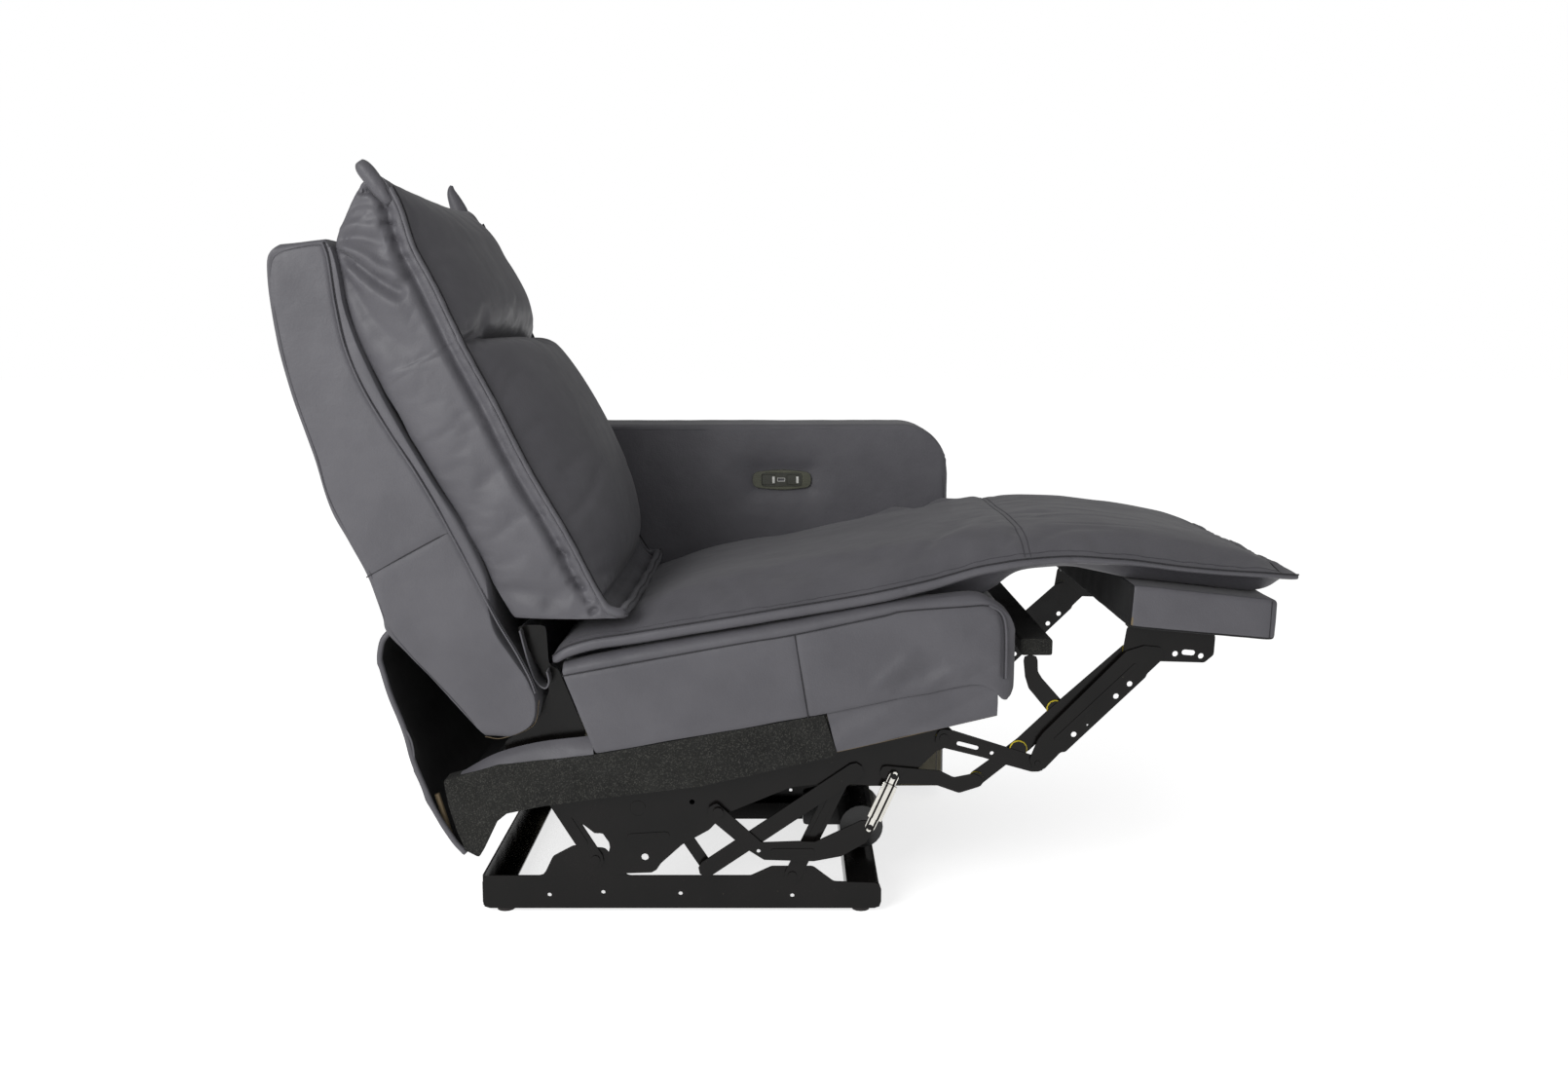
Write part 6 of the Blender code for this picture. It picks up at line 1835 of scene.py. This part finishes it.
@dataclass
class Arm:
    """The upholstered arm: a side panel with a seam under its rolled top and a dimple round the panel."""

    body: str = "base"
    across: int = 24
    deep: int = 80
    stations: int = 112
    rear_x: float = -0.640
    front_x: float = 0.2915
    foot_z: float = 0.013
    top_z: float = 0.676
    corner: float = 0.085
    edge: float = 0.013
    flatness: float = 0.45
    seam_drop: float = 0.0095
    panel_centre: Pair = (-0.004, 0.578)
    lining_top: float = 0.150

    def build(self) -> None:
        """Sew and dress the arm and its seams."""
        block = SewnBlock("arm_cover", self.across, self.deep)
        arm = block.sew([(self.station(n / (self.stations - 1)),) for n in range(self.stations)], self.point)
        subdivide(arm)
        push(arm, self.unevenness)
        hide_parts("arm_panel")
        dress(arm, LEATHER, self.body)
        # The lining faces take the lightened tone: painted light in the shade low on the arm.
        arm.data.materials.append(LIGHTENED_LINING.material())
        for face in arm.data.polygons:
            if face.normal.y < -0.5 and face.center.z < self.lining_top and face.center.x < 0.276:
                face.material_index = 1
        for n, x in enumerate((0.2765, 0.2835)):
            hem = [at(x, ARM_INNER_Y - 0.0010, 0.02 + (self.lining_top - 0.02) * k / 20) for k in range(21)]
            dress(tube(f"arm_lining_hem_{n}", hem, 0.0009), LIGHTENED_LINING, self.body)
        self.seams()

    def station(self, t: float) -> float:
        """Return the place of a station, closer together towards both ends."""
        return self.rear_x + (self.front_x - self.rear_x) * (0.55 * (0.5 - 0.5 * math.cos(math.pi * t)) + 0.45 * t)

    def top(self, x: float) -> float:
        """Return the height of the arm's top edge at x."""
        return self.top_z - self.corner * fall(max(0.0, 1 - (self.front_x - x) / self.corner), 2.2)

    def point(self, panel: Panel, s: float, row: Sequence[float]) -> Vector:
        """Place one point of a section.

        Args:
            panel: the panel that it is on.
            s: the share of the way along the panel.
            row: the station's place.

        Returns:
            The point.
        """
        (x,) = row
        middle, half = (ARM_INNER_Y + ARM_OUTER_Y) / 2, (ARM_OUTER_Y - ARM_INNER_Y) / 2
        half -= self.edge * fall(max(0.0, 1 - min(self.front_x - x, x - self.rear_x) / self.edge))
        high, low = self.top(x), self.foot_z
        if panel.broad:
            foot_pull = 0.0075 * max(0.0, (0.55 - high) / 0.55) if x > 0.28 else 0.0
            y = panel.across(s)
            full = (ARM_OUTER_Y - ARM_INNER_Y) / 2
            drop = self.edge * self.flatness * fall(min(1.0, max(0.0, abs(y) * full - (full - self.edge)) / self.edge))
            return at(x - foot_pull, middle + y * half, low + drop if panel is Panel.BACK else high - drop)
        z = low + (high - low) * panel.up(s)
        tuck = self.flatness * self.edge * fall(max(0.0, 1 - min(z - low, high - z) / self.edge))
        z = min(max(z, low + self.flatness * self.edge), high - self.flatness * self.edge)
        return at(x, middle + panel.side * (half - tuck), z)

    def unevenness(self, place: Vector, normal: Vector) -> float:
        """Return the arm's soft bulge, with its dimple round the control panel.

        Args:
            place: a point of the arm.
            normal: the way that it faces.

        Returns:
            The height at that point.
        """
        soft = 0.0012 * ripple(place, (0.16, 0.2, 0.12), 8.0) + 0.0004 * ripple(place, (0.03, 0.05, 0.04), 1.0)
        if normal.y >= -0.7:
            return soft
        x, z = place.x - DATUM_X - self.panel_centre[0], place.z - self.panel_centre[1]
        away = math.hypot(max(0.0, abs(x) - 0.045), max(0.0, abs(z) - 0.014))
        return soft + 0.0030 * min(1.0, away / 0.05) - 0.0036 * math.exp(-((away / 0.018) ** 2))

    def seams(self) -> None:
        """Sew the seams under the rolled top, inside and outside."""
        front, under = self.front_x, self.top_z - self.seam_drop
        arc = [
            (front - self.seam_drop - 0.005, 0.03),
            (front - self.seam_drop, 0.45),
            (front - self.seam_drop - 0.002, self.top_z - self.corner),
            (front - 0.030, self.top_z - 0.045),
            (front - self.corner, under),
            (-0.10, under),
            (self.rear_x + 0.02, under),
        ]
        for word, y in (("inner", ARM_INNER_Y - 0.0014), ("outer", ARM_OUTER_Y + 0.0006)):
            path = [at(x, y, z) for x, z in smooth_line(arc, 140)]
            dress(tube(f"arm_seam_{word}", path, 0.0011), THREAD, self.body)


# Hardware

NODE_FINISHES: list[tuple[tuple[str, ...], Finish]] = [
    (("felt_rail", "mid_beam"), FELT),
    (("floor_glide",), RUBBER),
    (("bright_strut",), STRUT_ZINC),
    (("seat_springs",), SPRING_STEEL),
    (("rear_seat_rail",), BLACK_CLOTH),
    (("upper_link", "lower_link", "footrest_bracket"), WASHERED_STEEL),
    (("cross_link",), CROSS_STEEL),
    (("actuator_motor", "actuator_slider"), MOTOR_PLASTIC),
    (("control_bezel",), BEZEL_METAL),
    (("control_fascia", "button_"), BUTTON_PLASTIC),
    (("charging_port",), WHITE_INLAY),
]


@dataclass(frozen=True)
class Mechanism:
    """The steel, felt, plastic and wood nodes of the CAD, each with its finish, and small metal pieces."""

    mark_y: float = 0.2174
    mark_z: float = 0.5777
    bushing_inset: float = 0.0327
    bushing_step: float = 0.0054
    sleeve_place: Pair = (0.1398, 0.1728)
    sleeve_inset: float = 0.0200
    sleeve_rise: Pair = (0.0336, 0.0746)

    def build(self) -> None:
        """Give every carried-over CAD node its finish and add the small pieces."""
        for name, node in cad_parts.items():
            finish = next((choice for starts, choice in NODE_FINISHES if name.startswith(starts)), BLACK_STEEL)
            node.data.materials.clear()
            node.data.materials.append(finish.material())
            LOG.info("%s is finished in %s", name, finish.name)
        self.button_marks()
        self.bushings()
        self.strut_sleeves()

    def bushings(self) -> None:
        """Set a yellow nylon bushing in the washer gap at the two open pivots of the upper links."""
        for word, side in SIDES:
            y = SEAT_MID_Y + side * (HALF_SEAT - self.bushing_inset)
            for name, body, place in (
                ("upper", "upper_links", at(0.3334, y, 0.2464)),
                ("cross", "cross_links", at(0.3858, y - side * self.bushing_step, 0.3038)),
            ):
                options = {"vertices": 48, "radius": 0.0127, "depth": 0.0019, "rotation": (math.radians(90), 0.0, 0.0)}
                ring = cast(f"bushing_{name}_{word}", bpy.ops.mesh.primitive_cylinder_add, location=place, **options)
                apply_modifier(ring, "BEVEL", width=0.0004, segments=2)
                dress(ring, YELLOW_NYLON, body)

    def strut_sleeves(self) -> None:
        """Slide a bright sleeve, with the strut finish's painted groove shade, over the middle of each strut."""
        (x, z), add = self.sleeve_place, bpy.ops.mesh.primitive_cube_add
        options = {"size": 1, "rotation": (0.0, math.atan2(*self.sleeve_rise), 0.0), "scale": (0.0215, 0.0026, 0.0560)}
        for word, side in SIDES:
            place = at(x, SEAT_MID_Y + side * (HALF_SEAT - self.sleeve_inset), z)
            sleeve = cast(f"strut_sleeve_{word}", add, location=place, **options)
            apply_modifier(sleeve, "BEVEL", width=0.0010, segments=3)
            dress(sleeve, STRUT_ZINC, "seat_frame")

    def button_marks(self) -> None:
        """Lay a white bar into each button's face."""
        options = {"size": 1, "scale": (0.0042, 0.0006, 0.0118)}
        for word, x in (("rear", -0.0186), ("front", 0.0238)):
            place = at(x, self.mark_y, self.mark_z)
            bar = cast(f"button_mark_{word}", bpy.ops.mesh.primitive_cube_add, location=place, **options)
            apply_modifier(bar, "BEVEL", width=0.0002, segments=2)
            dress(bar, WHITE_INLAY, f"button_{word}")


# Stage


@dataclass(frozen=True)
class Studio:
    """Floor, soft lamp and the camera at the photograph's viewpoint."""

    eye: tuple[float, float, float] = (-0.011, -2.415, 0.8209)
    pitch_deg: float = 7.614
    lens: float = 34.12
    sensor: float = 36.0
    lamp_place: tuple[float, float, float] = (-2.2, -3.4, 1.9)
    lamp_target: tuple[float, float, float] = (-0.1, 0.0, 0.5)
    lamp_size: float = 2.0
    lamp_watts: float = 88.0
    front_light: float = 0.50
    rear_light: float = 0.22
    top_share: float = 0.90
    floor_size: float = 60.0
    floor_z: float = -0.0004
    floor_lift: float = 0.74

    def build(self) -> None:
        """Set the floor, the lamp, the world and the camera."""
        self.floor()
        light = bpy.data.lights.new("key", "AREA")
        light.size = self.lamp_size
        light.energy = self.lamp_watts
        lamp = bpy.data.objects.new("key", light)
        lamp.location = self.lamp_place
        way = Vector(self.lamp_target) - Vector(self.lamp_place)
        lamp.rotation_euler = way.to_track_quat("-Z", "Y").to_euler()
        self.world()
        view = bpy.data.cameras.new("view")
        view.lens = self.lens
        view.sensor_width = self.sensor
        view.sensor_fit = "HORIZONTAL"
        camera = bpy.data.objects.new("view", view)
        camera.location = self.eye
        camera.rotation_euler = (math.radians(90 - self.pitch_deg), 0.0, 0.0)
        scene = bpy.context.scene
        for thing in (lamp, camera):
            scene.collection.objects.link(thing)
        scene.camera = camera
        scene.view_settings.view_transform = "Standard"

    def world(self) -> None:
        """Light the room evenly and show it white."""
        world = bpy.data.worlds.new("room")
        world.use_nodes = True
        world.node_tree.nodes.clear()
        nodes = Nodes(world.node_tree)
        way = nodes.add("TexCoord", {}).outputs["Generated"]
        parts = nodes.add("SeparateXYZ", {0: way}).outputs
        front = nodes.spread(parts["Y"], -1.0, 1.0, self.front_light, self.rear_light)
        above = nodes.spread(parts["Z"], 0.0, 1.0, 1.0, self.top_share)
        lit = nodes.maths("MULTIPLY", front, above)
        strength = nodes.spread(nodes.add("LightPath", {}).outputs["Is Camera Ray"], 0.0, 1.0, lit, 1.0)
        light = nodes.add("Background", {"Color": (1, 1, 1, 1), "Strength": strength})
        nodes.add("OutputWorld", {"Surface": light.outputs[0]})
        bpy.context.scene.world = world

    def floor(self) -> None:
        """Lay a white floor that keeps the shadow and has no horizon."""
        place = (0, 0, self.floor_z)
        plane = cast("studio_floor", bpy.ops.mesh.primitive_plane_add, size=self.floor_size, location=place)
        made = bpy.data.materials.new("white_sweep")
        made.use_nodes = True
        made.node_tree.nodes.clear()
        nodes = Nodes(made.node_tree)
        path = nodes.add("LightPath", {}).outputs
        seen = path["Is Camera Ray"]
        for other in ("Is Glossy Ray", "Is Transmission Ray"):
            seen = nodes.maths("MAXIMUM", seen, path[other])
        lift = nodes.spread(seen, 0.0, 1.0, 0.0, self.floor_lift)
        matt = nodes.add("BsdfDiffuse", {"Color": linear("#f4f4f4")})
        glow = nodes.add("Emission", {"Color": (1, 1, 1, 1), "Strength": lift})
        both = nodes.add("AddShader", {0: matt.outputs[0], 1: glow.outputs[0]})
        nodes.add("OutputMaterial", {"Surface": both.outputs[0]})
        plane.data.materials.append(made)


def main() -> None:
    """Build and dress the recliner, then set the stage."""
    logging.basicConfig(level=logging.INFO, format="%(name)s: %(message)s")
    Mechanism().build()
    BackShell().build()
    BackCushion().build()
    SeatBox().build()
    Apron().build()
    SeatPad().build()
    LegBoard().build()
    RearSkirt().build()
    LooseLeather().build()
    Arm().build()
    Studio().build()


if __name__ == "__main__":
    main()
